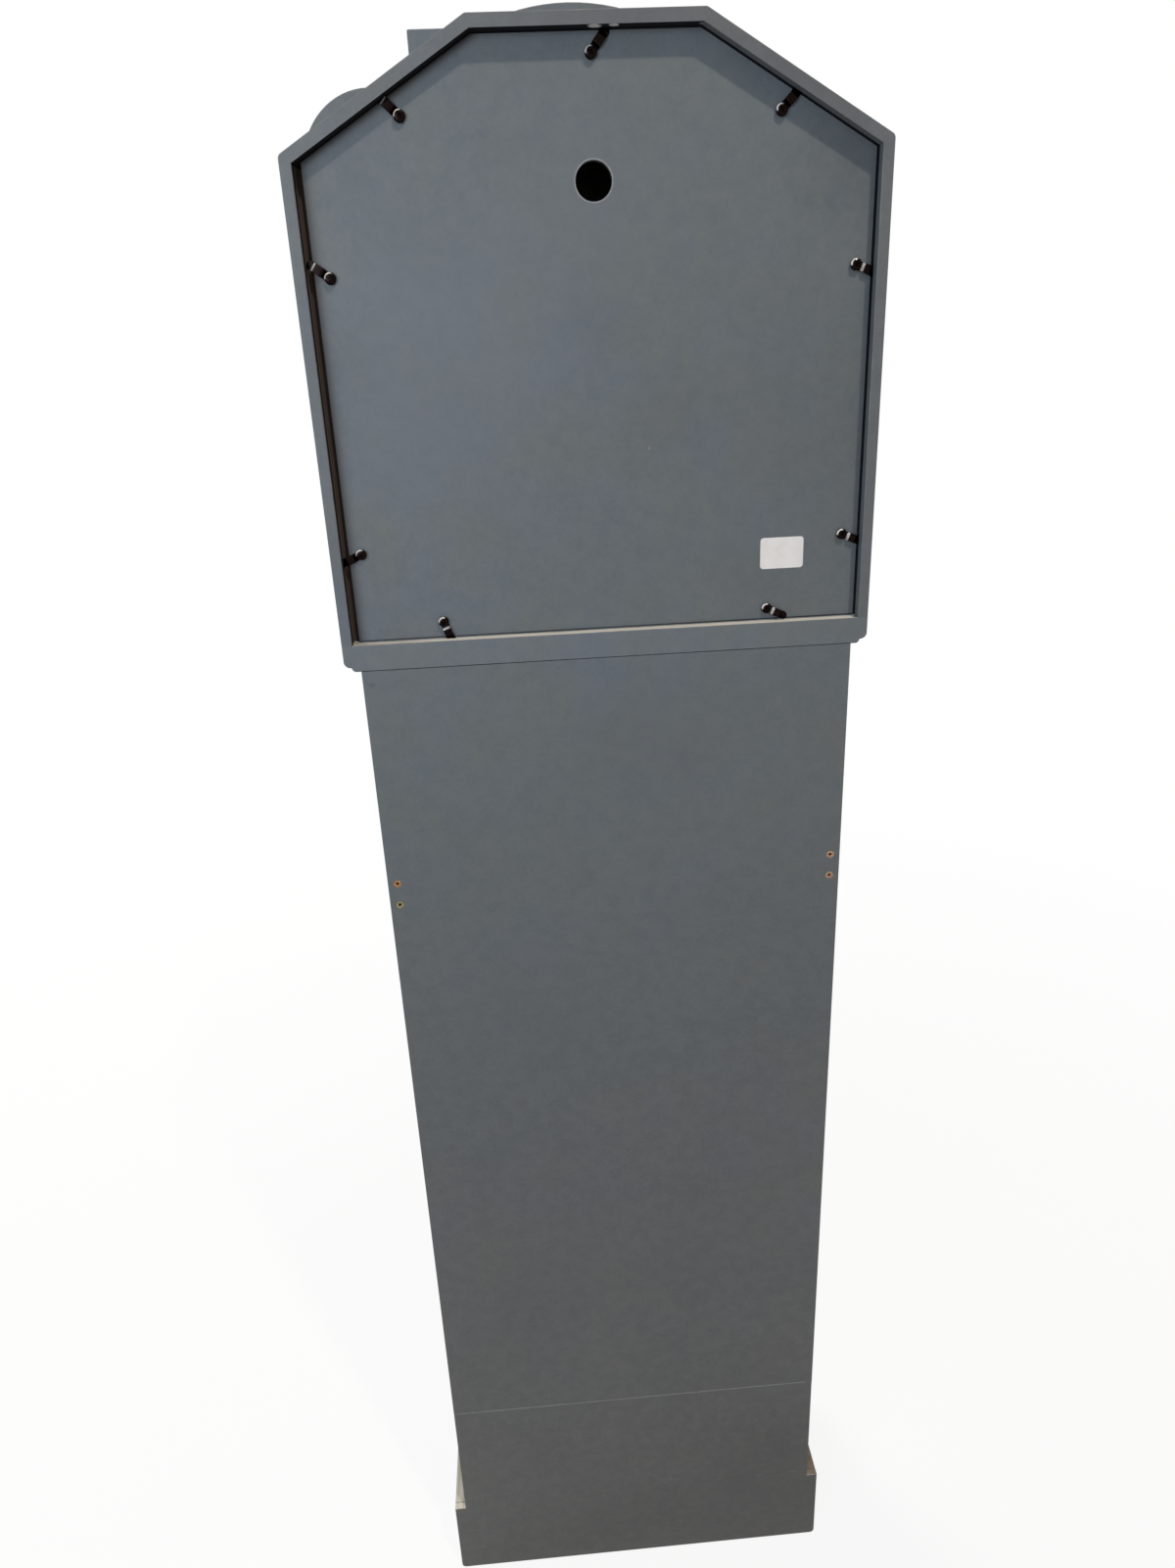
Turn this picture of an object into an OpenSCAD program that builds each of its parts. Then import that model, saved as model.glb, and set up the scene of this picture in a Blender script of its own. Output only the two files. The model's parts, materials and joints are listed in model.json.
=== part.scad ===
// Tall clock cabinet: a hood with a removable back panel, a trunk with a door and shelves, and a plinth.
// Millimetres. The front faces -Y, +Z is up, and the origin is at the middle of the footprint.
// Depths are measured forward from the back plane of the cabinet.

/* [Hood shell] */
// Width of the hood across its two sides
hood_w = 500; // [490:1:540]
// Width of the flat top of the hood, between the two chamfers
hood_top_w = 189; // [170:1:210]
// Height of the upright sides of the hood, above the hood floor
hood_side_h = 400; // [380:1:430]
// Rise of the chamfers, from the top of the sides to the top of the hood
chamfer_rise = 91; // [80:1:100]
// Depth of the hood shell, from the back plane to the back of the front board
hood_shell_d = 230; // [220:1:250]
// Thickness of the carcase boards
board_t = 18; // [16:0.5:20]
// Width of the back edge of the hood boards, outside their rebate
lip_w = 10; // [9:0.5:12]
// Radius of the rounded outer corners between the hood boards
hood_corner_r = 5; // [3:0.5:7]
// Thickness of the moulded hood floor
hood_floor_t = 25; // [22:1:30]
// Radius of the upper round on the edge of the hood floor
floor_round_r = 6; // [5:0.5:7]
// Width of the flat between the two rounds on the edge of the hood floor
floor_flat = 1; // [0.5:0.25:3]
// Radius of the lower round on the edge of the hood floor
floor_bead_r = 4; // [3:0.5:4.5]

/* [Hood back panel] */
// Depth of the outer face of the panel, inside the back edge of the boards
panel_recess = 14; // [12:0.5:17]
// Thickness of the panel
panel_t = 6; // [5:0.5:8]
// Play between the panel and the sides of the rebate, on each side when the panel is centred
panel_play = 3; // [2.5:0.25:4]
// Play between the panel and the rebate under the top and the chamfers
panel_top_play = 0.7; // [0.5:0.1:3]
// How far the panel has slipped sideways from the middle
panel_slip = 2.2; // [0:0.1:2.4]
// Width of the saw kerf that takes the tips of the turn buttons
kerf_w = 4; // [4:0.25:5]
// Depth of the saw kerf in the inner wall of the hood boards
kerf_d = 6.5; // [6.5:0.25:8]
// Diameter of the finger hole in the panel
finger_hole_d = 30; // [24:1:36]
// Height of the finger hole above the hood floor
finger_hole_up = 376; // [350:1:390]
// Width of the blank paper label
label_w = 41; // [36:1:46]
// Height of the blank paper label
label_h = 29; // [26:1:32]
// Thickness of the label
label_t = 0.3; // [0.2:0.05:0.5]
// Distance from the side of the hood to the middle of the label
label_inset = 82; // [74:1:90]
// Height of the middle of the label above the hood floor
label_up = 63; // [58:1:70]

/* [Turn buttons] */
// Distance of the two buttons on the hood floor from the sides of the hood
floor_button_inset = 96; // [80:1:120]
// Reach of a strap, from its screw to the end of its tip
strap_reach = 22; // [21:0.25:23]
// Width of a strap
strap_w = 7.5; // [7:0.25:8.5]
// Thickness of the strap metal
strap_t = 1.2; // [1:0.1:1.3]
// Radius of the eye under the screw head
strap_eye_r = 4.6; // [4.4:0.1:5.2]
// Height of the raised bridge of the strap
strap_lift = 2.4; // [2:0.1:2.4]
// Diameter of the screw head
screw_head_d = 10; // [9:0.25:11]
// Height of the screw head
screw_head_h = 3.2; // [2.8:0.1:4]
// Diameter of the screw shank
screw_d = 4; // [3.5:0.1:4.4]

/* [Front board and dial] */
// Thickness of the hood front board
crest_t = 18; // [16:0.5:20]
// Height of the crest above the top of the hood shell
crest_rise = 65; // [60:1:75]
// Radius of the broad arch on top of the crest
crest_arch_r = 226; // [215:1:240]
// Width across the square shoulders beside the arch
shoulder_w = 308; // [290:1:330]
// Height of the shoulders above the top of the hood shell
shoulder_rise = 47; // [42:1:52]
// Radius of the round lobes at the sides
lobe_r = 71; // [66:1:76]
// Distance of a lobe centre from the side of the hood
lobe_inset = 54; // [50:1:58]
// Height of a lobe centre above the top of the hood sides
lobe_up = 21; // [15:1:27]
// Radius of the dial opening in the front board
dial_open_r = 150; // [140:1:158]
// Height of the dial centre above the hood floor
dial_up = 302; // [290:1:310]
// Outer radius of the turned ring round the dial
ring_r = 184; // [176:1:190]
// Depth of the turned ring in front of the front board
ring_d = 16; // [14:0.5:20]
// Thickness of the dial glass
glass_t = 3; // [2.5:0.5:4]
// Thickness of the dial plate
dial_t = 2; // [1.5:0.5:3]
// Length of the hour hand, from the centre to its point
hour_len = 88; // [80:1:95]
// Length of the minute hand, from the centre to its point
minute_len = 128; // [115:1:134]
// Hour that the dial shows
shown_hour = 10; // [0:1:11]
// Minute that the dial shows
shown_minute = 10; // [0:1:59]

/* [Movement] */
// Side of the square movement case
case_w = 56; // [54:1:62]
// Thickness of the movement case
case_t = 16; // [15:0.5:20]
// Radius of the threaded bush through the dial
bush_r = 4; // [3.8:0.1:4.6]
// Radius of the hour tube
hour_tube_r = 2.8; // [2.6:0.05:3]
// Radius of the minute arbor
minute_arbor_r = 1.6; // [1.4:0.05:1.8]
// Radius of the dry cell
cell_r = 7.1; // [7:0.05:7.3]
// Length of the dry cell
cell_l = 49; // [47:0.5:50.5]

/* [Trunk] */
// Width of the trunk
trunk_w = 469; // [460:1:474]
// Depth of the trunk, from the back plane to its front face
trunk_d = 233; // [222:1:235]
// Height of the top of the trunk above the ground
trunk_h = 1293; // [1200:1:1350]
// Thickness of the back boards of the trunk and of the plinth
back_t = 9; // [6:0.5:12]
// Height of the joint between the two back boards of the trunk
back_joint_z = 300; // [280:1:330]
// Width of the two front stiles
front_stile_w = 45; // [40:1:50]
// Height of the rail above the door
top_rail_h = 60; // [50:1:70]
// Height of the top of the rail at the waist
waist_top_z = 345; // [340:1:370]
// Height of the underside of the rail at the waist
waist_low_z = 270; // [262:1:276]
// Height of the top of the lowest front rail
low_rail_top_z = 150; // [140:1:160]
// Gap between the top of the apron cut and the underside of the lowest front rail
low_rail_clear = 6; // [2:1:12]
// Height of the bead moulding across the waist
waist_bead_h = 16; // [12:1:20]
// Thickness of the shelves
shelf_t = 16; // [12:1:18]
// Diameter of the shelf pins
pin_d = 5; // [4:0.5:6]
// Spacing of the paired screw holes in the back, up and down
strap_hole_rise = 24; // [20:1:30]
// Height of the middle of the paired screw holes
strap_hole_z = 1056; // [1040:1:1070]
// Diameter of the paired screw holes
strap_hole_d = 4.5; // [4:0.1:5]

/* [Door] */
// Play round the door in its opening
door_gap = 2.5; // [2.4:0.1:3]
// Width of the stiles of the door
door_stile_w = 58; // [50:1:64]
// Height of the top rail of the door at the crown of its arch
door_top_rail_h = 60; // [50:1:75]
// Height of the bottom rail of the door
door_low_rail_h = 80; // [65:1:90]
// Radius of the arch over the door panel
door_arch_r = 165; // [155:1:185]
// Thickness of the panel tongues
tongue_t = 5.4; // [5:0.1:6]
// Width of the bevel round a fielded panel
bevel_w = 26; // [18:1:32]
// Height of the field above its tongue
field_lift = 4; // [3:0.25:5]
// Length of a hinge
hinge_l = 60; // [48:3:72]
// Radius of the hinge knuckles
knuckle_r = 3.5; // [3.2:0.1:4]
// Radius of the hinge pins
hinge_pin_r = 1.6; // [1.4:0.05:1.8]
// Thickness of the hinge leaves
leaf_t = 1; // [0.8:0.05:1]
// Depth of the hinge leaves into the edge of the door
leaf_d = 15; // [12:0.5:16]
// Distance of each hinge from the end of the door
hinge_inset = 110; // [90:1:140]
// Radius of the door knob
knob_r = 15; // [12:0.5:17]
// Reach of the door knob in front of the door
knob_reach = 30; // [26:0.5:31]
// Height of the door knob above the middle of the door
knob_up = 1; // [-30:1:30]

/* [Plinth] */
// Thickness of the plinth boards
plinth_t = 14; // [12:0.5:16]
// Height of the plinth boards at the sides and front
plinth_h = 120; // [110:1:125]
// How far the back board of the plinth stands above the side boards
plinth_back_step = 10; // [6:1:14]
// Radius of the lower corners of the back board
plinth_corner_r = 6; // [4:0.5:10]
// Height of the long shallow cut under the front board
apron_rise = 26; // [20:1:34]
// Length of each bracket foot of the front board
foot_l = 84; // [70:1:100]

/* [Hidden] */

paint = "#666b70";
bare_wood = "#b9a888";
black_metal = "#141414";
brass = "#a58245";
steel = "#9a9a98";
$fn = 96;

// Clearances
seat_gap = 0.1;
pivot_gap = 0.08;
slide_gap = 0.15;
safe_gap = 0.3;
cut_over = 1;

// Heights and depths worked out from the sizes above
hood_floor_z = trunk_h + hood_floor_t;
hood_corner_z = hood_floor_z + hood_side_h;
hood_top_z = hood_corner_z + chamfer_rise;
front_face_d = hood_shell_d + crest_t;
total_d = front_face_d + ring_d;
back_y = total_d / 2;
rebate_d = panel_recess + panel_t;
kerf_start_d = panel_recess - kerf_w;

// Mitres between the hood boards
chamfer_run = (hood_w - hood_top_w) / 2;
chamfer_angle = atan2(chamfer_rise, chamfer_run);
side_mitre = (1 - sin(chamfer_angle)) / cos(chamfer_angle);
top_mitre = (1 - cos(chamfer_angle)) / sin(chamfer_angle);
function side_corner(inset) = [hood_w / 2 - inset, hood_corner_z - inset * side_mitre];
function top_corner(inset) = [hood_top_w / 2 - inset * top_mitre, hood_top_z - inset];
function flip(point) = [-point[0], point[1]];
function flip_all(points) = [for (i = [len(points) - 1:-1:0]) flip(points[i])];

// Each step of the inner wall of a hood board: its first depth, its last depth and its inset
WALL_STEPS = [
    [0, kerf_start_d, lip_w],
    [kerf_start_d, panel_recess, lip_w - kerf_d],
    [panel_recess, rebate_d, lip_w],
    [rebate_d, hood_shell_d, board_t]
];

// Each turn button: its wall, its place along the wall, its distance from the wall, and its lean from
// the direction square to the wall. Places are from the middle on the top and the floor, from the
// lower end of a chamfer, and from the floor on a side.
BUTTONS = [
    ["top", -3, 15.8, 40],
    ["chamfer_left", 85, 17.7, 14],
    ["side_left", 306, 14.6, 23],
    ["side_left", 78, 16.2, 23],
    ["floor", floor_button_inset - hood_w / 2, 11.5, -64],
    ["floor", hood_w / 2 - floor_button_inset, 15.7, -20],
    ["side_right", 82, 16.6, -23],
    ["side_right", 311, 18.4, 35],
    ["chamfer_right", 92, 16.9, -17]
];
wall_corner = side_corner(lip_w);
wall_top = top_corner(lip_w);
chamfer_along = [-cos(chamfer_angle), sin(chamfer_angle)];
chamfer_out = [sin(chamfer_angle), cos(chamfer_angle)];
chamfer_out_angle = 90 - chamfer_angle;

function button_place(b) =
    b[0] == "top" ? [b[1], wall_top[1] - b[2]] :
    b[0] == "floor" ? [b[1], hood_floor_z + b[2]] :
    b[0] == "side_right" ? [wall_corner[0] - b[2], hood_floor_z + b[1]] :
    b[0] == "side_left" ? [b[2] - wall_corner[0], hood_floor_z + b[1]] :
    b[0] == "chamfer_right" ? wall_corner + b[1] * chamfer_along - b[2] * chamfer_out :
    flip(wall_corner + b[1] * chamfer_along - b[2] * chamfer_out);
function button_out_angle(b) =
    b[0] == "top" ? 90 :
    b[0] == "floor" ? 270 :
    b[0] == "side_right" ? 0 :
    b[0] == "side_left" ? 180 :
    b[0] == "chamfer_right" ? chamfer_out_angle :
    180 - chamfer_out_angle;
function button_angle(b) = button_out_angle(b) + b[3];

// Straps: where the metal bends, measured from the screw
bend_up_start = strap_eye_r + 1;
bend_up_end = bend_up_start + 1.6;
tip_len = 5;
bend_down_end = strap_reach - tip_len;
bend_down_start = bend_down_end - 1.6;
screw_grip = panel_t - 1;

// Crest and dial
arch_centre_z = hood_top_z + crest_rise - crest_arch_r;
shoulder_z = hood_top_z + shoulder_rise;
lobe_x = hood_w / 2 - lobe_inset;
lobe_z = hood_corner_z + lobe_up;
dial_z = hood_floor_z + dial_up;
glass_r = dial_open_r + 4;
ring_sight_r = dial_open_r - 4;
glass_start_d = front_face_d + seat_gap;
dial_start_d = hood_shell_d - dial_t;
plate_r = dial_open_r + 12;
dial_hole_r = bush_r + safe_gap;
case_start_d = dial_start_d - case_t;
bush_len = dial_t + 8;
nut_t = 2;
nut_r = bush_r + 4;
tube_bore_depth = 6;
hour_hand_d = dial_start_d + bush_len + 1;
minute_hand_d = hour_hand_d + 3;
hand_t = 0.8;
collar_r = 5;
cell_d = case_start_d + 3;
cell_drop = case_w / 2 - cell_r - 2;
hour_angle = 30 * (shown_hour + shown_minute / 60);
minute_angle = 6 * shown_minute;

// Trunk
side_in_x = trunk_w / 2 - board_t;
front_start_d = trunk_d - board_t;
opening_x = trunk_w / 2 - front_stile_w;
door_head_z = trunk_h - top_rail_h;
floor_low_z = back_joint_z - board_t / 2;
floor_top_z = back_joint_z + board_t / 2;
shelf_step = (trunk_h - floor_top_z) / 4;
function shelf_low_z(i) = floor_top_z + i * shelf_step - shelf_t / 2;
shelf_front_d = front_start_d - 8;
pin_r = pin_d / 2;
pin_out = 8;
pin_in = 9;
pin_hole_deep = 10;
pin_inset = 34;
strap_hole_x = trunk_w / 2 - board_t * 0.55;
strap_hole_deep = 25;
strap_sink_r = strap_hole_d * 0.8;
strap_sink_deep = 1.5;
groove_d = 8;
tongue_d = groove_d - safe_gap;
groove_t = tongue_t + 2 * safe_gap;
tongue_start_d = front_start_d + (board_t - tongue_t) / 2;
tongue_end_d = tongue_start_d + tongue_t;
field_end_d = tongue_end_d + field_lift;

// Door
door_x = opening_x - door_gap;
door_low_z = waist_top_z + door_gap;
door_top_z = door_head_z - door_gap;
door_sight_x = door_x - door_stile_w;
door_sight_low_z = door_low_z + door_low_rail_h;
door_crown_z = door_top_z - door_top_rail_h;
door_arch_z = door_crown_z - door_arch_r;
door_spring_z = door_arch_z + sqrt(door_arch_r * door_arch_r - door_sight_x * door_sight_x);
hinge_x = opening_x - door_gap / 2;
hinge_d = trunk_d + knuckle_r + safe_gap;
hinge_zs = [door_low_z + hinge_inset, door_top_z - hinge_inset - hinge_l];
knuckle_l = hinge_l / 3;
knuckle_gap = 0.3;
knob_x = -(door_x - door_stile_w / 2);
knob_z = (door_low_z + door_top_z) / 2 + knob_up;
catch_h = 40;
catch_drop = 27;
catch_z = shelf_low_z(2) - catch_drop - catch_h / 2;
catch_t = 12;
catch_reach = 18;
catch_seat = 24;
plate_t = 1.5;
plate_w = 14;

// Plinth
plinth_x = trunk_w / 2 + plinth_t;
plinth_front_d = trunk_d + plinth_t;
plinth_back_h = plinth_h + plinth_back_step;

// Points along an arc, from one angle to another
function arc(centre, r, from, to, steps = 8) =
    [for (i = [0:steps]) let (a = from + (to - from) * i / steps) centre + r * [cos(a), sin(a)]];

// An outline drawn in X and Z, made solid between two depths
module between_depths(start, end)
    translate([0, back_y - start, 0])
        rotate([90, 0, 0])
            linear_extrude(end - start)
                children();

// A profile drawn in depth and Z, made solid across X
module across(width)
    translate([-width / 2, back_y, 0])
        rotate([90, 0, 90])
            linear_extrude(width)
                mirror([1, 0])
                    children();

// A round solid whose axis runs forward, drawn as a profile of radius and depth
module turned(x, z)
    translate([x, back_y, z])
        rotate([90, 0, 0])
            rotate_extrude()
                children();

module box_at(x, z, w, h)
    translate([x, z])
        square([w, h]);

// The outer corners are rounded, and each round is shared out between the two boards at its mitre
side_mitre_angle = chamfer_out_angle / 2;
top_mitre_angle = (chamfer_out_angle + 90) / 2;
function side_round(from, to) = arc(side_corner(hood_corner_r), hood_corner_r, from, to, 4);
function top_round(from, to) = arc(top_corner(hood_corner_r), hood_corner_r, from, to, 4);

module hood_board_outline(board, inset) {
    if (board == "side")
        polygon(concat(
            [[hood_w / 2, hood_floor_z]],
            side_round(0, side_mitre_angle),
            [side_corner(inset), [hood_w / 2 - inset, hood_floor_z]]
        ));
    if (board == "chamfer")
        polygon(concat(
            side_round(side_mitre_angle, chamfer_out_angle),
            top_round(chamfer_out_angle, top_mitre_angle),
            [top_corner(inset), side_corner(inset)]
        ));
    if (board == "top") {
        half = top_round(top_mitre_angle, 90);
        polygon(concat(half, flip_all(half), [flip(top_corner(inset)), top_corner(inset)]));
    }
}

// A hood board with its lip, its saw kerf and its rebate
module hood_board(board)
    for (step = WALL_STEPS)
        between_depths(step[0], step[1])
            hood_board_outline(board, step[2]);

module hood_side_right()
    color(paint) hood_board("side");

module hood_side_left()
    color(paint) mirror([1, 0, 0]) hood_board("side");

module hood_chamfer_right()
    color(paint) hood_board("chamfer");

module hood_chamfer_left()
    color(paint) mirror([1, 0, 0]) hood_board("chamfer");

module hood_top_board()
    color(paint) hood_board("top");

// Moulded edge of the hood floor: an upper round, a small flat and a lower round, from the top down
function floor_edge(reach) = concat(
    [[reach, hood_floor_t]],
    arc([reach - floor_round_r, floor_bead_r + floor_round_r], floor_round_r, 0, -90),
    arc([reach - floor_round_r - floor_bead_r - floor_flat, floor_bead_r], floor_bead_r, 0, -90)
);

// The floor is moulded at its front and sides, and has the panel ledge and the kerf at its back
module hood_floor()
    color(paint)
        difference() {
            intersection() {
                between_depths(0, front_face_d)
                    translate([0, trunk_h])
                        polygon(concat(floor_edge(hood_w / 2), flip_all(floor_edge(hood_w / 2))));
                across(hood_w)
                    translate([0, trunk_h])
                        polygon(concat([[0, 0], [0, hood_floor_t]], floor_edge(front_face_d)));
            }
            between_depths(kerf_start_d, panel_recess)
                box_at(-hood_w / 2 + lip_w, hood_floor_z - kerf_d, hood_w - 2 * lip_w, kerf_d + cut_over);
        }

module crest_outline() {
    box_at(-hood_w / 2, hood_floor_z, hood_w, lobe_z - hood_floor_z);
    box_at(-shoulder_w / 2, hood_floor_z, shoulder_w, shoulder_z - hood_floor_z);
    for (side = [-1, 1])
        translate([side * lobe_x, lobe_z])
            circle(lobe_r);
    intersection() {
        translate([0, arch_centre_z])
            circle(crest_arch_r);
        box_at(-shoulder_w / 2, arch_centre_z, shoulder_w, crest_arch_r);
    }
}

// The front board rises past the hood as lobes, square shoulders and a broad arch
module hood_front_board()
    color(paint)
        between_depths(hood_shell_d, front_face_d)
            difference() {
                crest_outline();
                translate([0, dial_z])
                    circle(dial_open_r);
            }

// The panel is cut close under the top and the chamfers, and narrower than the frame
module panel_outline() {
    inset = lip_w + panel_top_play;
    corner = side_corner(inset);
    crown = top_corner(inset);
    low = hood_floor_z + seat_gap;
    foot = [corner[0], low];
    half_w = hood_w / 2 - lip_w - panel_play;
    intersection() {
        polygon([foot, corner, crown, flip(crown), flip(corner), flip(foot)]);
        box_at(-half_w - panel_slip, low - cut_over, 2 * half_w, hood_top_z - low);
    }
}

module hood_back_panel()
    color(paint)
        difference() {
            between_depths(panel_recess, rebate_d)
                panel_outline();
            between_depths(panel_recess - cut_over, rebate_d + cut_over)
                translate([-panel_slip, hood_floor_z + finger_hole_up])
                    circle(d = finger_hole_d);
            between_depths(panel_recess - cut_over, panel_recess + screw_grip + seat_gap)
                for (b = BUTTONS)
                    translate(button_place(b))
                        circle(screw_d / 2 + seat_gap / 2);
        }

module blank_label() {
    r = 3;
    color("white")
        between_depths(panel_recess - label_t, panel_recess)
            translate([label_inset - hood_w / 2, hood_floor_z + label_up]) {
                square([label_w, label_h - 2 * r], center = true);
                square([label_w - 2 * r, label_h], center = true);
                for (sx = [-1, 1], sz = [-1, 1])
                    translate([sx * (label_w / 2 - r), sz * (label_h / 2 - r)])
                        circle(r);
            }
}

// Side view of a strap: distance from the screw, and height above the panel
module strap_profile() {
    low = slide_gap;
    high = low + strap_lift;
    polygon([
        [-strap_eye_r, low], [bend_up_start, low], [bend_up_end, high], [bend_down_start, high],
        [bend_down_end, low], [strap_reach, low], [strap_reach, low + strap_t],
        [bend_down_end + strap_t / 2, low + strap_t], [bend_down_start + strap_t / 2, high + strap_t],
        [bend_up_end - strap_t / 2, high + strap_t], [bend_up_start - strap_t / 2, low + strap_t],
        [-strap_eye_r, low + strap_t]
    ]);
}

module strap_plan() {
    tip_r = strap_w / 2;
    circle(strap_eye_r);
    translate([0, -tip_r])
        square([strap_reach - tip_r, strap_w]);
    translate([strap_reach - tip_r, 0])
        circle(tip_r);
}

// A bent strap that turns on its screw, with its tip in the kerf at rest
module turn_button(b)
    color(black_metal)
        translate([button_place(b)[0], back_y - panel_recess, button_place(b)[1]])
            rotate([0, -button_angle(b), 0])
                difference() {
                    intersection() {
                        translate([0, 0, -strap_eye_r])
                            linear_extrude(2 * strap_eye_r)
                                strap_profile();
                        rotate([90, 0, 0])
                            translate([0, 0, -strap_reach])
                                linear_extrude(2 * strap_reach)
                                    strap_plan();
                    }
                    rotate([90, 0, 0])
                        translate([0, 0, -strap_reach])
                            cylinder(r = screw_d / 2 + pivot_gap, h = 2 * strap_reach);
                }

module turn_button_1() turn_button(BUTTONS[0]);
module turn_button_2() turn_button(BUTTONS[1]);
module turn_button_3() turn_button(BUTTONS[2]);
module turn_button_4() turn_button(BUTTONS[3]);
module turn_button_5() turn_button(BUTTONS[4]);
module turn_button_6() turn_button(BUTTONS[5]);
module turn_button_7() turn_button(BUTTONS[6]);
module turn_button_8() turn_button(BUTTONS[7]);
module turn_button_9() turn_button(BUTTONS[8]);

// A pan-head screw: radius, and depth measured outwards from the face of the panel
module screw_profile() {
    head_r = screw_head_d / 2;
    seat = strap_t + 2 * slide_gap;
    crown_r = screw_head_h * 0.7;
    polygon(concat(
        [[0, -screw_grip], [screw_d / 2, -screw_grip], [screw_d / 2, seat], [head_r, seat]],
        arc([head_r - crown_r, seat + screw_head_h - crown_r], crown_r, 0, 90, 6),
        [[0, seat + screw_head_h]]
    ));
}

module turn_button_screws()
    color(black_metal)
        for (b = BUTTONS)
            translate([button_place(b)[0], back_y - panel_recess, button_place(b)[1]])
                rotate([-90, 0, 0])
                    rotate_extrude()
                        screw_profile();

// A turned ring with a bead at its sight, a cove and an outer round, rebated at its back for the glass
module dial_ring() {
    bead_r = 6;
    fillet = 2;
    cove_r = 7;
    round_r = 7;
    crown_d = front_face_d + ring_d;
    rebate_r = glass_r + seat_gap;
    rebate_end_d = glass_start_d + glass_t + seat_gap;
    bead_x = ring_sight_r + bead_r;
    cove_x = bead_x + bead_r + fillet + cove_r;
    fillet_x = ring_r - round_r - fillet;
    cove_low_d = crown_d - bead_r - cove_r;
    color(paint)
        turned(0, dial_z)
            polygon(concat(
                [[ring_r, front_face_d], [rebate_r, front_face_d]],
                [[rebate_r, rebate_end_d], [ring_sight_r, rebate_end_d]],
                arc([bead_x, crown_d - bead_r], bead_r, 180, 0, 12),
                arc([cove_x, crown_d - bead_r], cove_r, 180, 270),
                [[fillet_x, cove_low_d], [fillet_x, front_face_d + round_r]],
                arc([ring_r - round_r, front_face_d], round_r, 90, 0)
            ));
}

module dial_glass()
    color("#dfe8ea", 0.35)
        between_depths(glass_start_d, glass_start_d + glass_t)
            translate([0, dial_z])
                circle(glass_r);

module dial_plate()
    color("#efe9da")
        between_depths(dial_start_d, hood_shell_d)
            translate([0, dial_z])
                difference() {
                    circle(plate_r);
                    circle(dial_hole_r);
                }

// The case holds the threaded bush, and its back is open to the dry cell
module movement_case()
    color(black_metal)
        difference() {
            union() {
                between_depths(case_start_d, dial_start_d)
                    translate([0, dial_z])
                        square(case_w, center = true);
                between_depths(dial_start_d, dial_start_d + bush_len)
                    translate([0, dial_z])
                        circle(bush_r);
            }
            between_depths(dial_start_d - tube_bore_depth, dial_start_d + bush_len + cut_over)
                translate([0, dial_z])
                    circle(hour_tube_r + pivot_gap);
            translate([-cell_l / 2 - safe_gap, back_y - cell_d, dial_z - cell_drop])
                rotate([0, 90, 0])
                    cylinder(r = cell_r + safe_gap, h = cell_l + 2 * safe_gap);
        }

module movement_nut()
    color(brass)
        between_depths(hood_shell_d, hood_shell_d + nut_t)
            translate([0, dial_z])
                difference() {
                    circle(nut_r, $fn = 6);
                    circle(bush_r + seat_gap / 2);
                }

module dry_cell()
    color("#8a8a88")
        translate([-cell_l / 2, back_y - cell_d, dial_z - cell_drop])
            rotate([0, 90, 0])
                union() {
                    cylinder(r = cell_r, h = cell_l - 1);
                    cylinder(r = cell_r * 0.4, h = cell_l);
                }

// A spade hand that points up, drawn round its own centre
module spade_hand(length, blade_r) {
    root_w = 5;
    neck_w = 2.4;
    blade_z = length - blade_r * 2.6;
    point_w = blade_r * 1.6;
    point_z = blade_z + blade_r * 0.6;
    circle(collar_r);
    polygon([[-root_w / 2, 0], [root_w / 2, 0], [neck_w / 2, blade_z], [-neck_w / 2, blade_z]]);
    translate([0, blade_z])
        circle(blade_r);
    polygon([[-point_w / 2, point_z], [point_w / 2, point_z], [0, length]]);
}

module hand_at(start, angle)
    translate([0, back_y - start, dial_z])
        rotate([90, angle, 0])
            children();

module hour_hand() {
    tube_l = hour_hand_d - dial_start_d + tube_bore_depth - 1;
    color(black_metal)
        hand_at(hour_hand_d, hour_angle)
            difference() {
                union() {
                    linear_extrude(hand_t)
                        spade_hand(hour_len, 9);
                    translate([0, 0, -tube_l])
                        cylinder(r = hour_tube_r, h = tube_l + hand_t + 1);
                }
                translate([0, 0, -tube_l - cut_over])
                    cylinder(r = minute_arbor_r + pivot_gap, h = tube_l + hand_t + 1 + 2 * cut_over);
            }
}

module minute_hand() {
    arbor_l = minute_hand_d - dial_start_d + tube_bore_depth - 1;
    color(black_metal)
        hand_at(minute_hand_d, minute_angle) {
            linear_extrude(hand_t)
                spade_hand(minute_len, 7);
            translate([0, 0, -arbor_l])
                cylinder(r = minute_arbor_r, h = arbor_l);
            cylinder(r = minute_arbor_r * 1.6, h = hand_t + 1);
        }
}

// Places of the pins under each shelf: depth and height
PIN_PLACES = [
    for (i = [1:3], d = [back_t + pin_inset, shelf_front_d - pin_inset])
        [d, shelf_low_z(i) - seat_gap - pin_r]
];

module along_x(x, d, z, r, length)
    translate([x, back_y - d, z])
        rotate([0, 90, 0])
            cylinder(r = r, h = length);

module trunk_side()
    difference() {
        between_depths(back_t, front_start_d)
            box_at(side_in_x, 0, board_t, trunk_h);
        for (p = PIN_PLACES)
            along_x(side_in_x - cut_over, p[0], p[1], pin_r + seat_gap / 2, pin_hole_deep + cut_over);
        for (s = [-1, 1])
            between_depths(back_t - cut_over, back_t + strap_hole_deep)
                translate([strap_hole_x, strap_hole_z + s * strap_hole_rise / 2])
                    circle(d = strap_hole_d);
    }

module trunk_side_right()
    color(paint) trunk_side();

module trunk_side_left()
    color(paint) mirror([1, 0, 0]) trunk_side();

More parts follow.
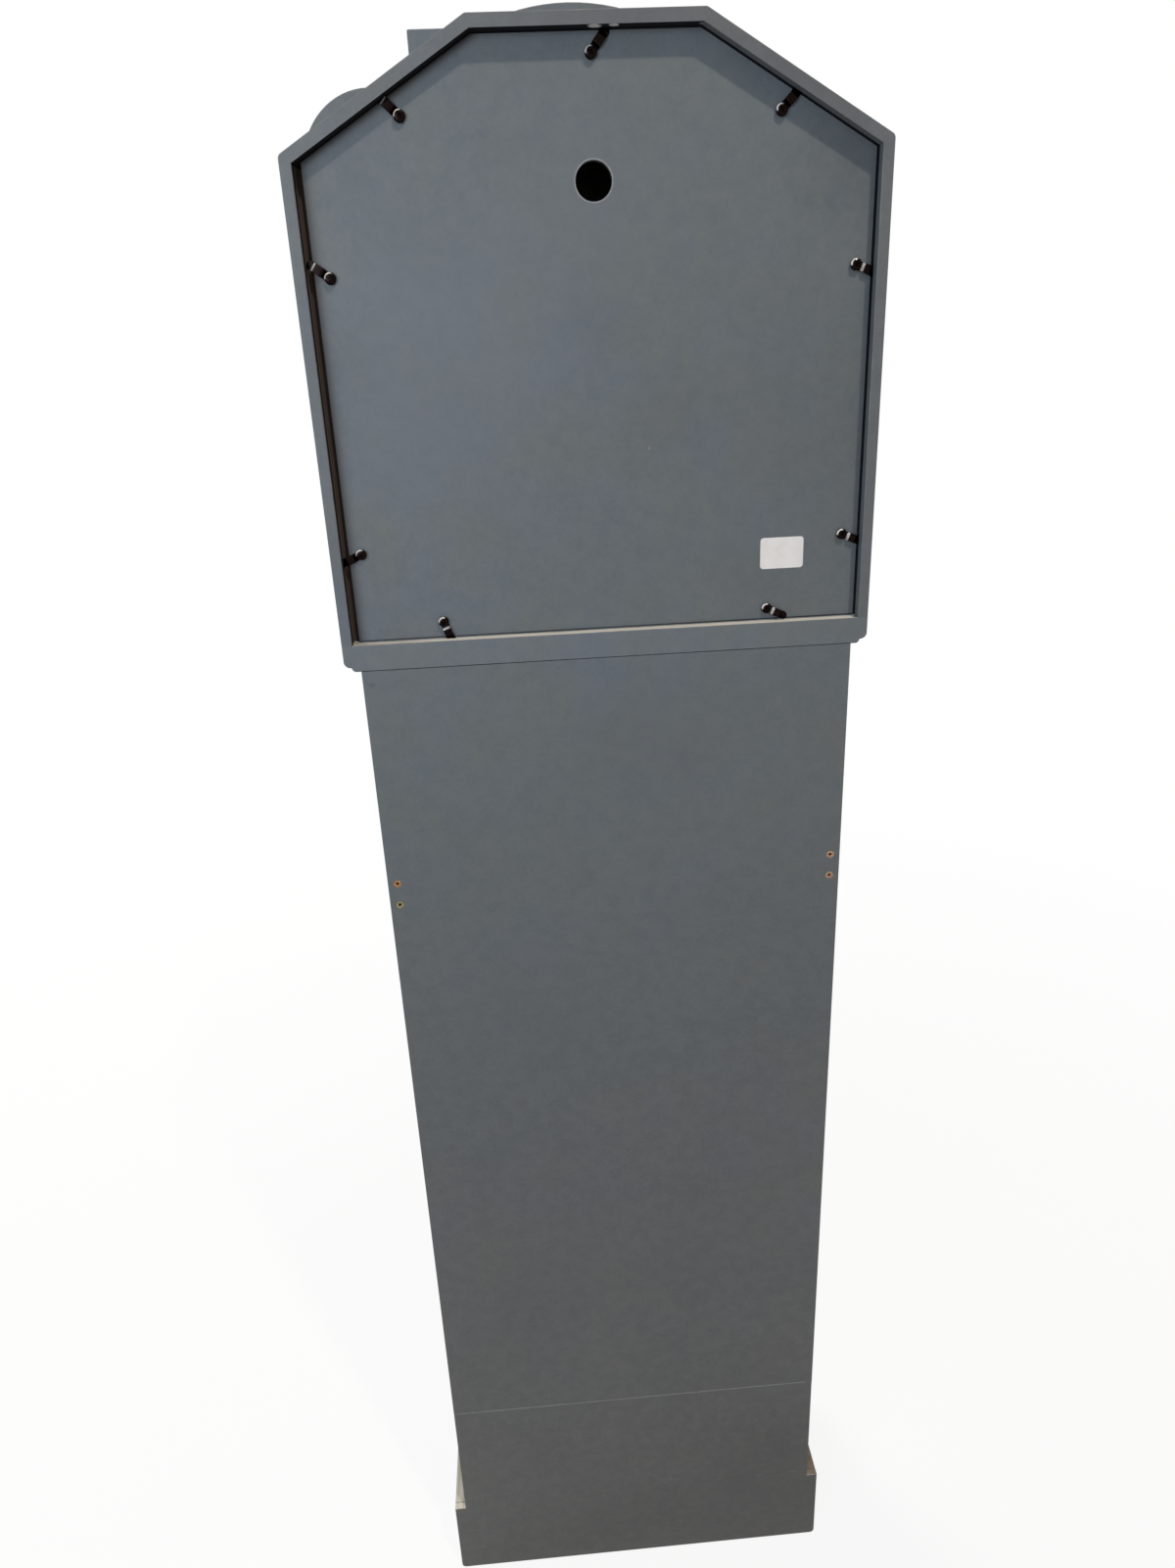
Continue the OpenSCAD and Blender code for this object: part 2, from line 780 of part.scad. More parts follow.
// The back board has a pair of countersunk screw holes at each edge
module trunk_back_board()
    color(paint)
        difference() {
            between_depths(0, back_t)
                box_at(-trunk_w / 2, back_joint_z, trunk_w, trunk_h - back_joint_z);
            for (sx = [-1, 1], sz = [-1, 1])
                translate([sx * strap_hole_x, back_y, strap_hole_z + sz * strap_hole_rise / 2])
                    rotate([90, 0, 0]) {
                        translate([0, 0, -cut_over])
                            cylinder(d = strap_hole_d, h = back_t + 2 * cut_over);
                        translate([0, 0, -cut_over])
                            cylinder(r = strap_sink_r, h = strap_sink_deep + cut_over);
                    }
        }

module lower_back_board()
    color(paint)
        between_depths(0, back_t)
            box_at(-trunk_w / 2, plinth_back_h, trunk_w, back_joint_z - plinth_back_h);

// A tongue outline grown by a margin, used for the panel in the base
module base_panel_outline(margin) {
    h = waist_low_z - low_rail_top_z;
    box_at(-opening_x - margin, low_rail_top_z - margin, 2 * (opening_x + margin), h + 2 * margin);
}

module base_groove()
    between_depths(tongue_start_d - safe_gap, tongue_start_d - safe_gap + groove_t)
        base_panel_outline(groove_d);

module front_stile()
    difference() {
        between_depths(front_start_d, trunk_d)
            box_at(opening_x, 0, front_stile_w, trunk_h);
        base_groove();
    }

module front_stile_right()
    color(paint) front_stile();

module front_stile_left()
    color(paint) mirror([1, 0, 0]) front_stile();

module front_rail(low, high)
    color(paint)
        difference() {
            between_depths(front_start_d, trunk_d)
                box_at(-opening_x, low, 2 * opening_x, high - low);
            base_groove();
        }

module top_rail() front_rail(door_head_z, trunk_h);
module waist_rail() front_rail(waist_low_z, waist_top_z);
module low_rail() front_rail(apron_rise + low_rail_clear, low_rail_top_z);

// A field whose bevel falls to the tongue at its four edges
module field_across(low, high, width, bottom_bevel, top_bevel) {
    half = width / 2;
    intersection() {
        translate([0, back_y - tongue_end_d, low])
            linear_extrude(high - low)
                polygon([[-half, 0], [half, 0], [half - bevel_w, -field_lift], [bevel_w - half, -field_lift]]);
        across(width)
            polygon([
                [tongue_end_d, low], [tongue_end_d, high],
                [field_end_d, high - top_bevel], [field_end_d, low + bottom_bevel]
            ]);
    }
}

module base_panel() {
    low = low_rail_top_z + safe_gap;
    high = waist_low_z - safe_gap;
    color(paint) {
        between_depths(tongue_start_d, tongue_end_d)
            base_panel_outline(tongue_d);
        field_across(low, high, 2 * (opening_x - safe_gap), bevel_w, bevel_w);
    }
}

// A half-round bead with a square fillet above and below
module waist_bead() {
    fillet = 2;
    bead_r = waist_bead_h / 2 - fillet;
    color(paint)
        across(trunk_w)
            translate([trunk_d, back_joint_z])
                polygon(concat(
                    [[0, -waist_bead_h / 2], [fillet, -waist_bead_h / 2]],
                    arc([fillet, 0], bead_r, -90, 90, 12),
                    [[fillet, waist_bead_h / 2], [0, waist_bead_h / 2]]
                ));
}

module trunk_floor()
    color(bare_wood)
        between_depths(back_t, front_start_d)
            box_at(-side_in_x, floor_low_z, 2 * side_in_x, board_t);

module shelf(i)
    color(bare_wood)
        between_depths(back_t + safe_gap, shelf_front_d)
            box_at(-side_in_x + safe_gap, shelf_low_z(i), 2 * (side_in_x - safe_gap), shelf_t);

module shelf_lower() shelf(1);
module shelf_middle() shelf(2);
module shelf_upper() shelf(3);

module shelf_pins()
    color(steel)
        for (p = PIN_PLACES, side = [0, 1])
            mirror([side, 0, 0])
                along_x(side_in_x - pin_out, p[0], p[1], pin_r, pin_out + pin_in);

// The door panel, with an arched head, grown by a margin
module door_panel_outline(margin) {
    h = door_crown_z - door_sight_low_z;
    intersection() {
        box_at(-door_sight_x - margin, door_sight_low_z - margin, 2 * (door_sight_x + margin), h + 2 * margin);
        union() {
            box_at(-door_x, door_low_z, 2 * door_x, door_spring_z - door_low_z);
            translate([0, door_arch_z])
                circle(door_arch_r + margin);
        }
    }
}

module door_groove()
    between_depths(tongue_start_d - safe_gap, tongue_start_d - safe_gap + groove_t)
        door_panel_outline(groove_d);

module door_stile(x)
    color(paint)
        difference() {
            between_depths(front_start_d, trunk_d)
                box_at(x, door_low_z, door_stile_w, door_top_z - door_low_z);
            door_groove();
        }

module door_hinge_stile() door_stile(door_sight_x);
module door_knob_stile() door_stile(-door_x);

// The top rail is cut to an arch over the panel
module door_top_rail()
    color(paint)
        difference() {
            between_depths(front_start_d, trunk_d)
                difference() {
                    box_at(-door_sight_x, door_spring_z, 2 * door_sight_x, door_top_z - door_spring_z);
                    door_panel_outline(0);
                }
            door_groove();
        }

module door_low_rail()
    color(paint)
        difference() {
            between_depths(front_start_d, trunk_d)
                box_at(-door_sight_x, door_low_z, 2 * door_sight_x, door_low_rail_h);
            door_groove();
        }

// The field follows the arch with a conical bevel
module door_panel() {
    low = door_sight_low_z + safe_gap;
    sight_r = door_arch_r - safe_gap;
    color(paint) {
        between_depths(tongue_start_d, tongue_end_d)
            door_panel_outline(tongue_d);
        intersection() {
            field_across(low, door_crown_z, 2 * (door_sight_x - safe_gap), bevel_w, 0);
            union() {
                translate([0, back_y - tongue_end_d, door_arch_z])
                    rotate([90, 0, 0])
                        cylinder(r1 = sight_r, r2 = sight_r - bevel_w, h = field_lift);
                between_depths(tongue_end_d, field_end_d)
                    box_at(-door_x, door_low_z, 2 * door_x, door_arch_z - door_low_z);
            }
        }
    }
}

// A turned knob: a round base, a waisted neck and a flattened ball
module door_knob() {
    rose_r = knob_r * 0.85;
    rose_t = 3;
    neck_r = knob_r * 0.45;
    squash = 0.65;
    ball_d = trunk_d + knob_reach - knob_r * squash;
    ball_foot = -62;
    color(brass)
        turned(knob_x, knob_z)
            polygon(concat(
                [[0, trunk_d], [rose_r, trunk_d]],
                [[rose_r, trunk_d + rose_t], [neck_r, trunk_d + 2 * rose_t]],
                [for (i = [0:14]) let (t = ball_foot + (90 - ball_foot) * i / 14)
                    [knob_r * cos(t), ball_d + knob_r * squash * sin(t)]]
            ));
}

// One hinge seen from its foot: knuckles numbered from below, with the leaf that carries them
module hinge_half(z, knuckles, leaf_x)
    translate([0, 0, z])
        difference() {
            union() {
                for (k = knuckles) {
                    translate([hinge_x, back_y - hinge_d, k * knuckle_l + knuckle_gap / 2])
                        cylinder(r = knuckle_r, h = knuckle_l - knuckle_gap);
                    translate([leaf_x, back_y - hinge_d, k * knuckle_l + knuckle_gap / 2])
                        cube([leaf_t, hinge_d - trunk_d + leaf_d, knuckle_l - knuckle_gap]);
                }
                translate([leaf_x, back_y - trunk_d, 0])
                    cube([leaf_t, leaf_d, hinge_l]);
            }
            translate([hinge_x, back_y - hinge_d, -cut_over])
                cylinder(r = hinge_pin_r + pivot_gap, h = hinge_l + 2 * cut_over);
        }

module hinge_leaves_fixed()
    color(brass)
        for (z = hinge_zs)
            hinge_half(z, [0, 2], opening_x - leaf_t);

module hinge_leaves_door()
    color(brass)
        for (z = hinge_zs)
            hinge_half(z, [1], door_x);

// Pins with a small cap at each end
module hinge_pins()
    color(brass)
        for (z = hinge_zs)
            translate([hinge_x, back_y - hinge_d, z - 1]) {
                cylinder(r = hinge_pin_r, h = hinge_l + 2);
                cylinder(r = hinge_pin_r * 1.6, h = 1);
                translate([0, 0, hinge_l + 1])
                    cylinder(r = hinge_pin_r * 1.6, h = 1);
            }

// The magnet block is seated on the back of the stile and reaches behind the edge of the door
module catch_magnet() {
    face_d = front_start_d - plate_t - safe_gap;
    color(black_metal)
        translate([-opening_x, 0]) {
            between_depths(face_d - catch_t, face_d)
                box_at(-catch_seat + 2, catch_z - catch_h / 2, catch_seat + catch_reach, catch_h);
            between_depths(face_d, front_start_d)
                box_at(-catch_seat + 2, catch_z - catch_h / 2, catch_seat - 4, catch_h);
        }
}

module catch_plate()
    color(steel)
        between_depths(front_start_d - plate_t, front_start_d)
            box_at(-door_x + 1, catch_z - catch_h / 2 + 3, plate_w, catch_h - 6);

// Side boards of the plinth, mitred at the front; their upper edge is a bare ledge beside the trunk
module plinth_side()
    translate([0, back_y, 0])
        mirror([0, 1, 0])
            linear_extrude(plinth_h)
                polygon([
                    [trunk_w / 2, back_t], [plinth_x, back_t],
                    [plinth_x, plinth_front_d], [trunk_w / 2, trunk_d]
                ]);

module plinth_side_right()
    color(paint) plinth_side();

module plinth_side_left()
    color(paint) mirror([1, 0, 0]) plinth_side();

// The front board stands on two bracket feet with a shallow cut between them
module plinth_front_board() {
    cut_r = apron_rise;
    cut_x = plinth_x - foot_l;
    color(paint)
        difference() {
            translate([0, back_y, 0])
                mirror([0, 1, 0])
                    linear_extrude(plinth_h)
                        polygon([
                            [-trunk_w / 2, trunk_d], [trunk_w / 2, trunk_d],
                            [plinth_x, plinth_front_d], [-plinth_x, plinth_front_d]
                        ]);
            between_depths(trunk_d - cut_over, plinth_front_d + cut_over) {
                box_at(-cut_x, -cut_over, 2 * cut_x, apron_rise + cut_over);
                for (side = [0, 1])
                    mirror([side, 0])
                        difference() {
                            box_at(cut_x - cut_over, -cut_over, cut_r + cut_over, apron_rise + cut_over);
                            translate([cut_x + cut_r, apron_rise])
                                circle(cut_r);
                        }
            }
        }
}

// The back board has a square notch at each upper corner and round lower corners
module plinth_back_board()
    color(paint)
        between_depths(0, back_t) {
            box_at(-plinth_x, plinth_corner_r, 2 * plinth_x, plinth_h - plinth_corner_r);
            box_at(plinth_corner_r - plinth_x, 0, 2 * (plinth_x - plinth_corner_r), plinth_h);
            box_at(-trunk_w / 2, 0, trunk_w, plinth_back_h);
            for (side = [-1, 1])
                translate([side * (plinth_x - plinth_corner_r), plinth_corner_r])
                    circle(plinth_corner_r);
        }

hood_side_left();
hood_side_right();
hood_chamfer_left();
hood_chamfer_right();
hood_top_board();
hood_floor();
hood_front_board();
hood_back_panel();
blank_label();
turn_button_screws();
turn_button_1();
turn_button_2();
turn_button_3();
turn_button_4();
turn_button_5();
turn_button_6();
turn_button_7();
turn_button_8();
turn_button_9();
dial_ring();
dial_glass();
dial_plate();
movement_case();
movement_nut();
dry_cell();
hour_hand();
minute_hand();
trunk_side_left();
trunk_side_right();
trunk_back_board();
lower_back_board();
front_stile_left();
front_stile_right();
top_rail();
waist_rail();
low_rail();
base_panel();
waist_bead();
trunk_floor();
shelf_lower();
shelf_middle();
shelf_upper();
shelf_pins();
door_hinge_stile();
door_knob_stile();
door_top_rail();
door_low_rail();
door_panel();
door_knob();
hinge_leaves_fixed();
hinge_leaves_door();
hinge_pins();
catch_magnet();
catch_plate();
plinth_side_left();
plinth_side_right();
plinth_front_board();
plinth_back_board();
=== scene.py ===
"""The looks of the tall clock cabinet, in metres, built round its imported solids."""

import json
import logging
import math
import random
from dataclasses import dataclass
from enum import Enum
from typing import Callable, Sequence

import bmesh
import bpy
from mathutils import Matrix, Vector, noise


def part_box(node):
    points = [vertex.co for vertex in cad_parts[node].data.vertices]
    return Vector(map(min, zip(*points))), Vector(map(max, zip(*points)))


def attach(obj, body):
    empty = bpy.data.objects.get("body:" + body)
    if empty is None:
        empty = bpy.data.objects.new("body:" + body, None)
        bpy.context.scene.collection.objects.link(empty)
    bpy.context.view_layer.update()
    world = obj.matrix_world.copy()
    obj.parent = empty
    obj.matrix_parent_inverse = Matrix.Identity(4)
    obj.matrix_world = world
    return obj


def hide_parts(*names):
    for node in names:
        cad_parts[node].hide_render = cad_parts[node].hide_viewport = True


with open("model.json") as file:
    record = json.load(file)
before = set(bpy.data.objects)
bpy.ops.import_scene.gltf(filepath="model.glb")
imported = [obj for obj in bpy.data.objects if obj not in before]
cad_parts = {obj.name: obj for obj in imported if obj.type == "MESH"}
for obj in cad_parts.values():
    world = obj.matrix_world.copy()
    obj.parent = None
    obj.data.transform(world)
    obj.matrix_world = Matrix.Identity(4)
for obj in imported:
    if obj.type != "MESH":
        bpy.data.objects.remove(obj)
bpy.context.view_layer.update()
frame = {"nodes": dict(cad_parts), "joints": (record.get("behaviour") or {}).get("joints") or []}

log = logging.getLogger("cabinet")

Mesh = bmesh.types.BMesh
Socket = bpy.types.NodeSocket
Tree = bpy.types.NodeTree
Vert = bmesh.types.BMVert
Colour = tuple[float, float, float, float]

MM = 0.001
CABINET = "cabinet"
BACK_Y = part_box("hood_side_left")[1].y
# Points no further apart than this, in metres, are joined.
JOIN_WITHIN = 2e-6
# Faces that differ by less than this, in degrees, are made one.
FLAT_WITHIN = 0.3
# Two boards share a point where it is the same on this many steps to the metre.
TOUCH_GRID = 1e5
# How far a flat face outweighs the small ones beside it in their shading.
FLAT_WEIGHT = 80
# The attribute that marks what is rubbed, and on the black steel where highlights are painted.
WEAR_AND_GLINT = "wear_and_glint"
# The Mix node has inputs and outputs for every kind of data. These are those for colours.
MIX_FIRST, MIX_SECOND, MIX_RESULT = 6, 7, 2
# Paint, wood, paper, ink and glass refract about alike. Metals keep the shader's own value.
PAINT_IOR = 1.5


class Axis(Enum):
    """The direction in which a pattern runs, such as the grain of a board."""

    X = (1.0, 0.0, 0.0)
    Y = (0.0, 1.0, 0.0)
    Z = (0.0, 0.0, 1.0)


class Slot(Enum):
    """The record's material slots."""

    PAINT = "painted_board"
    RAW = "raw_board"
    STEEL = "blackened_steel"
    PAPER = "paper"
    GLASS = "clear_glass"
    ENAMEL = "dial_enamel"
    PLASTIC = "black_plastic"
    HANDS = "black_hands"
    BRASS = "brass"
    ZINC = "zinc_steel"
    CELL = "cell_steel"


# Places and colours


def place(x: float, depth: float, z: float) -> Vector:
    """Turns a place on the cabinet into a point of the scene.

    Args:
        x: Millimetres from the middle, positive towards the left of the back view.
        depth: Millimetres in front of the back plane.
        z: Millimetres above the floor.

    Returns:
        The point in metres.
    """
    return Vector((x * MM, BACK_Y - depth * MM, z * MM))


def depth_of(point: Vector) -> float:
    """Millimetres from the back plane forward to a point."""
    return (BACK_Y - point.y) / MM


def linear(hex_colour: str) -> Colour:
    """Turns an sRGB hex colour to linear light.

    Args:
        hex_colour: Six hex digits after a hash.

    Returns:
        Red, green, blue and an alpha of one.
    """
    parts = [int(hex_colour[i : i + 2], 16) / 255 for i in (1, 3, 5)]
    red, green, blue = [
        p / 12.92 if p <= 0.04045 else ((p + 0.055) / 1.055) ** 2.4 for p in parts
    ]
    return (red, green, blue, 1.0)


def per_mm(size: float) -> float:
    """The scale of a pattern, in scene units, whose features are that many millimetres across."""
    return 1.0 / (size * MM)


def ramp(value: float, start: float, end: float) -> float:
    """Rises from nought at start to one at end, and is held beyond."""
    return min(1.0, max(0.0, (value - start) / (end - start)))


def out_of_back(x: float, depth: float, z: float) -> Matrix:
    """The place of a turned shape whose axis points out of the back of the cabinet."""
    return Matrix.Translation(place(x, depth, z)) @ Matrix.Rotation(math.radians(-90), 4, "X")


def add_object(name: str, data: bpy.types.ID) -> bpy.types.Object:
    """Puts a mesh, a camera or a lamp in the scene.

    Args:
        name: The object's name.
        data: What it shows.

    Returns:
        The object.
    """
    made = bpy.data.objects.new(name, data)
    bpy.context.scene.collection.objects.link(made)
    return made


# Shader nodes


def add_node(
    tree: Tree,
    kind: str,
    inputs: dict[str | int, object] | Sequence[object] = (),
    **settings: object,
) -> bpy.types.Node:
    """Adds a shader node with its settings and links.

    Args:
        tree: The node tree that takes the node.
        kind: Blender's name for the kind of node.
        inputs: Values, or output sockets to link, for the first inputs or by name or number.
        settings: Properties of the node.

    Returns:
        The new node.
    """
    node = tree.nodes.new(kind)
    for name, value in settings.items():
        setattr(node, name, value)
    given = inputs if isinstance(inputs, dict) else dict(enumerate(inputs))
    for name, value in given.items():
        if isinstance(value, Socket):
            tree.links.new(value, node.inputs[name])
        else:
            node.inputs[name].default_value = value
    return node


@dataclass(frozen=True)
class Blotch:
    """A patch of a surface, in millimetres on the cabinet: a worn, dusty or handled one, or one of
    painted light or shade.
    """

    x: float
    depth: float
    z: float
    radius: float
    colour: str
    strength: float = 0.5
    softness: float = 0.9


@dataclass(frozen=True)
class CornerShade:
    """The painted shade along one edge of a recessed board.

    It deepens from start to end, which are millimetres along the outward direction (x, z).
    """

    x: float
    z: float
    start: float
    end: float


@dataclass(frozen=True)
class Painter:
    """Patterns and mixes on one material's node tree, measured in millimetres of the object."""

    tree: Tree
    coords: Socket

    def clouds(self, size: float, detail: float = 2.0, shift: float = 0.0) -> Socket:
        """Soft noise.

        Args:
            size: Millimetres across one patch.
            detail: Octaves of finer noise.
            shift: Metres by which the pattern is moved, so that two patterns differ.

        Returns:
            A factor round one half.
        """
        inputs = (self.coords, (shift, shift, shift))
        moved = add_node(self.tree, "ShaderNodeVectorMath", inputs, operation="ADD")
        inputs = {"Vector": moved.outputs[0], "Scale": per_mm(size), "Detail": detail}
        return add_node(self.tree, "ShaderNodeTexNoise", inputs).outputs["Fac"]

    def streaks(self, along: Axis, length: float, width: float) -> Socket:
        """Noise drawn out along one direction, as grain or brush marks are.

        Args:
            along: The direction of the streaks.
            length: Millimetres along a streak.
            width: Millimetres across it.

        Returns:
            A factor round one half.
        """
        scale = tuple(per_mm(length) if a else per_mm(width) for a in along.value)
        inputs = (self.coords, scale)
        stretched = add_node(self.tree, "ShaderNodeVectorMath", inputs, operation="MULTIPLY")
        inputs = {"Vector": stretched.outputs[0], "Scale": 1.0, "Detail": 4.0, "Roughness": 0.6}
        return add_node(self.tree, "ShaderNodeTexNoise", inputs).outputs["Fac"]

    def layer(
        self,
        under: Socket | Colour,
        over: str,
        pattern: Socket,
        start: float = 0.0,
        end: float = 1.0,
        low: float = 0.0,
        high: float = 1.0,
        held_to: Socket | None = None,
    ) -> Socket:
        """Lays one colour over another as far as a pattern says.

        Args:
            under: The colour below, as a socket or in linear light.
            over: The hex colour that is laid over it.
            pattern: What decides how much of it shows.
            start: The pattern's value at which low of it shows.
            end: The pattern's value at which high of it shows, both held beyond.
            low: The share that shows at start.
            high: The share that shows at end.
            held_to: A factor that holds the layer to some places.

        Returns:
            The colour that results.
        """
        inputs = (pattern, start, end, low, high)
        share = add_node(self.tree, "ShaderNodeMapRange", inputs).outputs[0]
        if held_to:
            inputs = (held_to, share)
            share = add_node(
                self.tree, "ShaderNodeMath", inputs, operation="MULTIPLY"
            ).outputs[0]
        inputs = {"Factor": share, MIX_FIRST: under, MIX_SECOND: linear(over)}
        mixed = add_node(self.tree, "ShaderNodeMix", inputs, data_type="RGBA")
        return mixed.outputs[MIX_RESULT]

    def blotched(self, colour: Socket, blotches: Sequence[Blotch]) -> Socket:
        """Lays patches with ragged edges over a colour: worn or dirty ones, and patches of painted
        light and shade.

        Args:
            colour: The colour of the clean surface.
            blotches: The patches, the last on top.

        Returns:
            The colour with its patches.
        """
        # The ragged factor is about one half, so pull takes back what reach adds, and the edge
        # lies round the radius.
        pull, reach = 0.8, 1.4
        ragged = self.clouds(9, 3, shift=1.7) if blotches else None
        for blotch in blotches:
            radius = blotch.radius * MM
            middle = tuple(place(blotch.x, blotch.depth, blotch.z))
            inputs = (self.coords, middle)
            away = add_node(self.tree, "ShaderNodeVectorMath", inputs, operation="DISTANCE")
            inputs = (ragged, radius * pull, away.outputs["Value"])
            edge = add_node(self.tree, "ShaderNodeMath", inputs, operation="MULTIPLY_ADD")
            end = radius * reach
            start = end * (1 - blotch.softness)
            colour = self.layer(
                colour, blotch.colour, edge.outputs[0], start, end, blotch.strength, 0.0
            )
        return colour

    def cloudy(self, size: float, detail: float, first: str, second: str, *spread: float) -> Socket:
        """Lays clouds of a second hex colour over a first, with the spread that layer takes."""
        return self.layer(linear(first), second, self.clouds(size, detail), *spread)


# Finishes


@dataclass(frozen=True)
class Finish:
    """A real surface finish. A kind of finish gives its own dress method."""

    name: str

    def material(self) -> bpy.types.Material:
        """Makes the finish's material at its first use, and finds it again after that.

        Returns:
            The material.
        """
        made = bpy.data.materials.get(self.name)
        if made:
            return made
        made = bpy.data.materials.new(self.name)
        made.use_nodes = True
        tree = made.node_tree
        tree.nodes.clear()
        shader = add_node(tree, "ShaderNodeBsdfPrincipled")
        add_node(tree, "ShaderNodeOutputMaterial", {"Surface": shader.outputs[0]})
        coords = add_node(tree, "ShaderNodeTexCoord").outputs["Object"]
        self.dress(Painter(tree, coords), shader)
        return made

    def dress(self, paint: Painter, shader: bpy.types.Node) -> None:
        """Fills the shader's sockets with patterns on the material's tree."""
        raise NotImplementedError

    @staticmethod
    def fill(paint: Painter, shader: bpy.types.Node, **values: Socket | float | tuple) -> None:
        """Links patterns to the shader's sockets, and sets its constants.

        Args:
            paint: Patterns on the material's tree.
            shader: The Principled shader.
            values: An output or a constant for each input, with underscores for its spaces.
        """
        for name, value in values.items():
            socket = shader.inputs[name.replace("_", " ")]
            if isinstance(value, Socket):
                paint.tree.links.new(value, socket)
            else:
                socket.default_value = value


@dataclass(frozen=True)
class SatinPaint(Finish):
    """Water-based furniture paint, rolled on primed board: even and nearly matt.

    The roller leaves a faint stipple and clouds a shade bluer and a shade greener, and the
    primer shows where the edges are rubbed.
    """

    colour: str = "#5d666a"
    blue_cloud: str = "#5d676f"
    green_cloud: str = "#5f6665"
    # Painted shade: the greyer, darker colour that the paint is drawn in towards the floor.
    foot: str = "#515150"
    floor_shade_below: float = 1250.0
    primer: str = "#8d8f8a"
    # Painted shade: the colour of the dark line drawn at the foot of a board on a ledge.
    shade_line: str = "#17191d"
    # Painted shade: the colour that the corners of a recess are drawn darker in.
    corner_shade_colour: str = "#241f1d"
    roughness: float = 0.52
    gloss: float = 0.5
    edge_wear: float = 0.35
    shade_line_below: float = -1.0
    shades: tuple[CornerShade, ...] = ()
    blotches: tuple[Blotch, ...] = ()

    def dress(self, paint: Painter, shader: bpy.types.Node) -> None:
        """Lays the clouds, the stipple, the blotches, the painted shade and the rubbed edges over
        the plain colour.

        Args:
            paint: Patterns on the material's tree.
            shader: The Principled shader.
        """
        tree = paint.tree
        broad = paint.clouds(150, 3)
        hue = paint.clouds(70, 2, shift=3.1)
        # The roller's stipple is about 1.5 mm. It is drawn at 4 mm, so that it shows.
        stipple = paint.clouds(4, 3)
        colour = paint.layer(linear(self.blue_cloud), self.green_cloud, hue, 0.35, 0.65)
        colour = paint.layer(colour, self.colour, broad, 0.3, 0.7)
        # Painted shade: the paint is drawn greyer and darker towards the floor.
        height = add_node(tree, "ShaderNodeSeparateXYZ", (paint.coords,)).outputs["Z"]
        colour = paint.layer(colour, self.foot, height, 0.0, self.floor_shade_below * MM, 1.0, 0.0)
        colour = paint.layer(colour, self.primer, stipple, 0.3, 0.8, 0.0, 0.13)
        dapple = paint.clouds(14, 2, shift=2.3)
        colour = paint.layer(colour, self.primer, dapple, 0.35, 0.65, 0.0, 0.09)
        colour = paint.blotched(colour, self.blotches)
        # Painted shade: a dark line is drawn where the foot of a board stands on a ledge.
        line = self.shade_line_below * MM
        colour = paint.layer(colour, self.shade_line, height, line - 0.4 * MM, line, 0.9, 0.0)
        # Painted shade: the corners of a recess are drawn darker, more and more towards the edge of
        # the board.
        for shade in self.shades:
            inputs = (paint.coords, (shade.x, 0.0, shade.z))
            outwards = add_node(tree, "ShaderNodeVectorMath", inputs, operation="DOT_PRODUCT")
            inputs = (outwards.outputs["Value"], shade.start * MM, shade.end * MM, 0.0, 0.97)
            corner = add_node(tree, "ShaderNodeMapRange", inputs).outputs[0]
            deep = add_node(tree, "ShaderNodeMath", (corner, 3.0), operation="POWER")
            colour = paint.layer(colour, self.corner_shade_colour, deep.outputs[0])
        # The rounded edges of the boards carry a wear attribute, and are rubbed in places.
        worn_or_glinting = add_node(tree, "ShaderNodeAttribute", attribute_name=WEAR_AND_GLINT).outputs["Fac"]
        rubbed_or_glinting = paint.clouds(28, 4, shift=5.3)
        colour = paint.layer(colour, self.primer, rubbed_or_glinting, 0.5, 0.68, 0.0, self.edge_wear, worn_or_glinting)
        satin = (broad, 0.3, 0.7, self.roughness - 0.04, self.roughness + 0.05)
        relief = {"Height": stipple, "Distance": 0.12 * MM, "Strength": 0.5}
        self.fill(
            paint,
            shader,
            Base_Color=colour,
            Roughness=add_node(tree, "ShaderNodeMapRange", satin).outputs[0],
            Normal=add_node(tree, "ShaderNodeBump", relief).outputs[0],
            IOR=PAINT_IOR,
            Specular_IOR_Level=self.gloss,
        )


@dataclass(frozen=True)
class BareWood(Finish):
    """Sawn softwood or fibreboard left without paint, which shows its streaks along the board."""

    pale: str = "#b8a988"
    dark: str = "#8d7855"
    grain: Axis = Axis.X
    grain_length: float = 60
    grain_width: float = 2.2
    roughness: float = 0.8
    stains: tuple[Blotch, ...] = ()

    def dress(self, paint: Painter, shader: bpy.types.Node) -> None:
        """Draws the grain, with dusty clouds and any stains over it.

        Args:
            paint: Patterns on the material's tree.
            shader: The Principled shader.
        """
        grain = paint.streaks(self.grain, self.grain_length, self.grain_width)
        colour = paint.layer(linear(self.pale), self.dark, grain, 0.36, 0.64)
        colour = paint.layer(colour, self.pale, paint.clouds(35, 3), 0.45, 0.75, 0.0, 0.35)
        relief = {"Height": grain, "Distance": 0.2 * MM, "Strength": 0.6}
        self.fill(
            paint,
            shader,
            Base_Color=paint.blotched(colour, self.stains),
            Roughness=self.roughness,
            Normal=add_node(paint.tree, "ShaderNodeBump", relief).outputs[0],
            IOR=PAINT_IOR,
        )


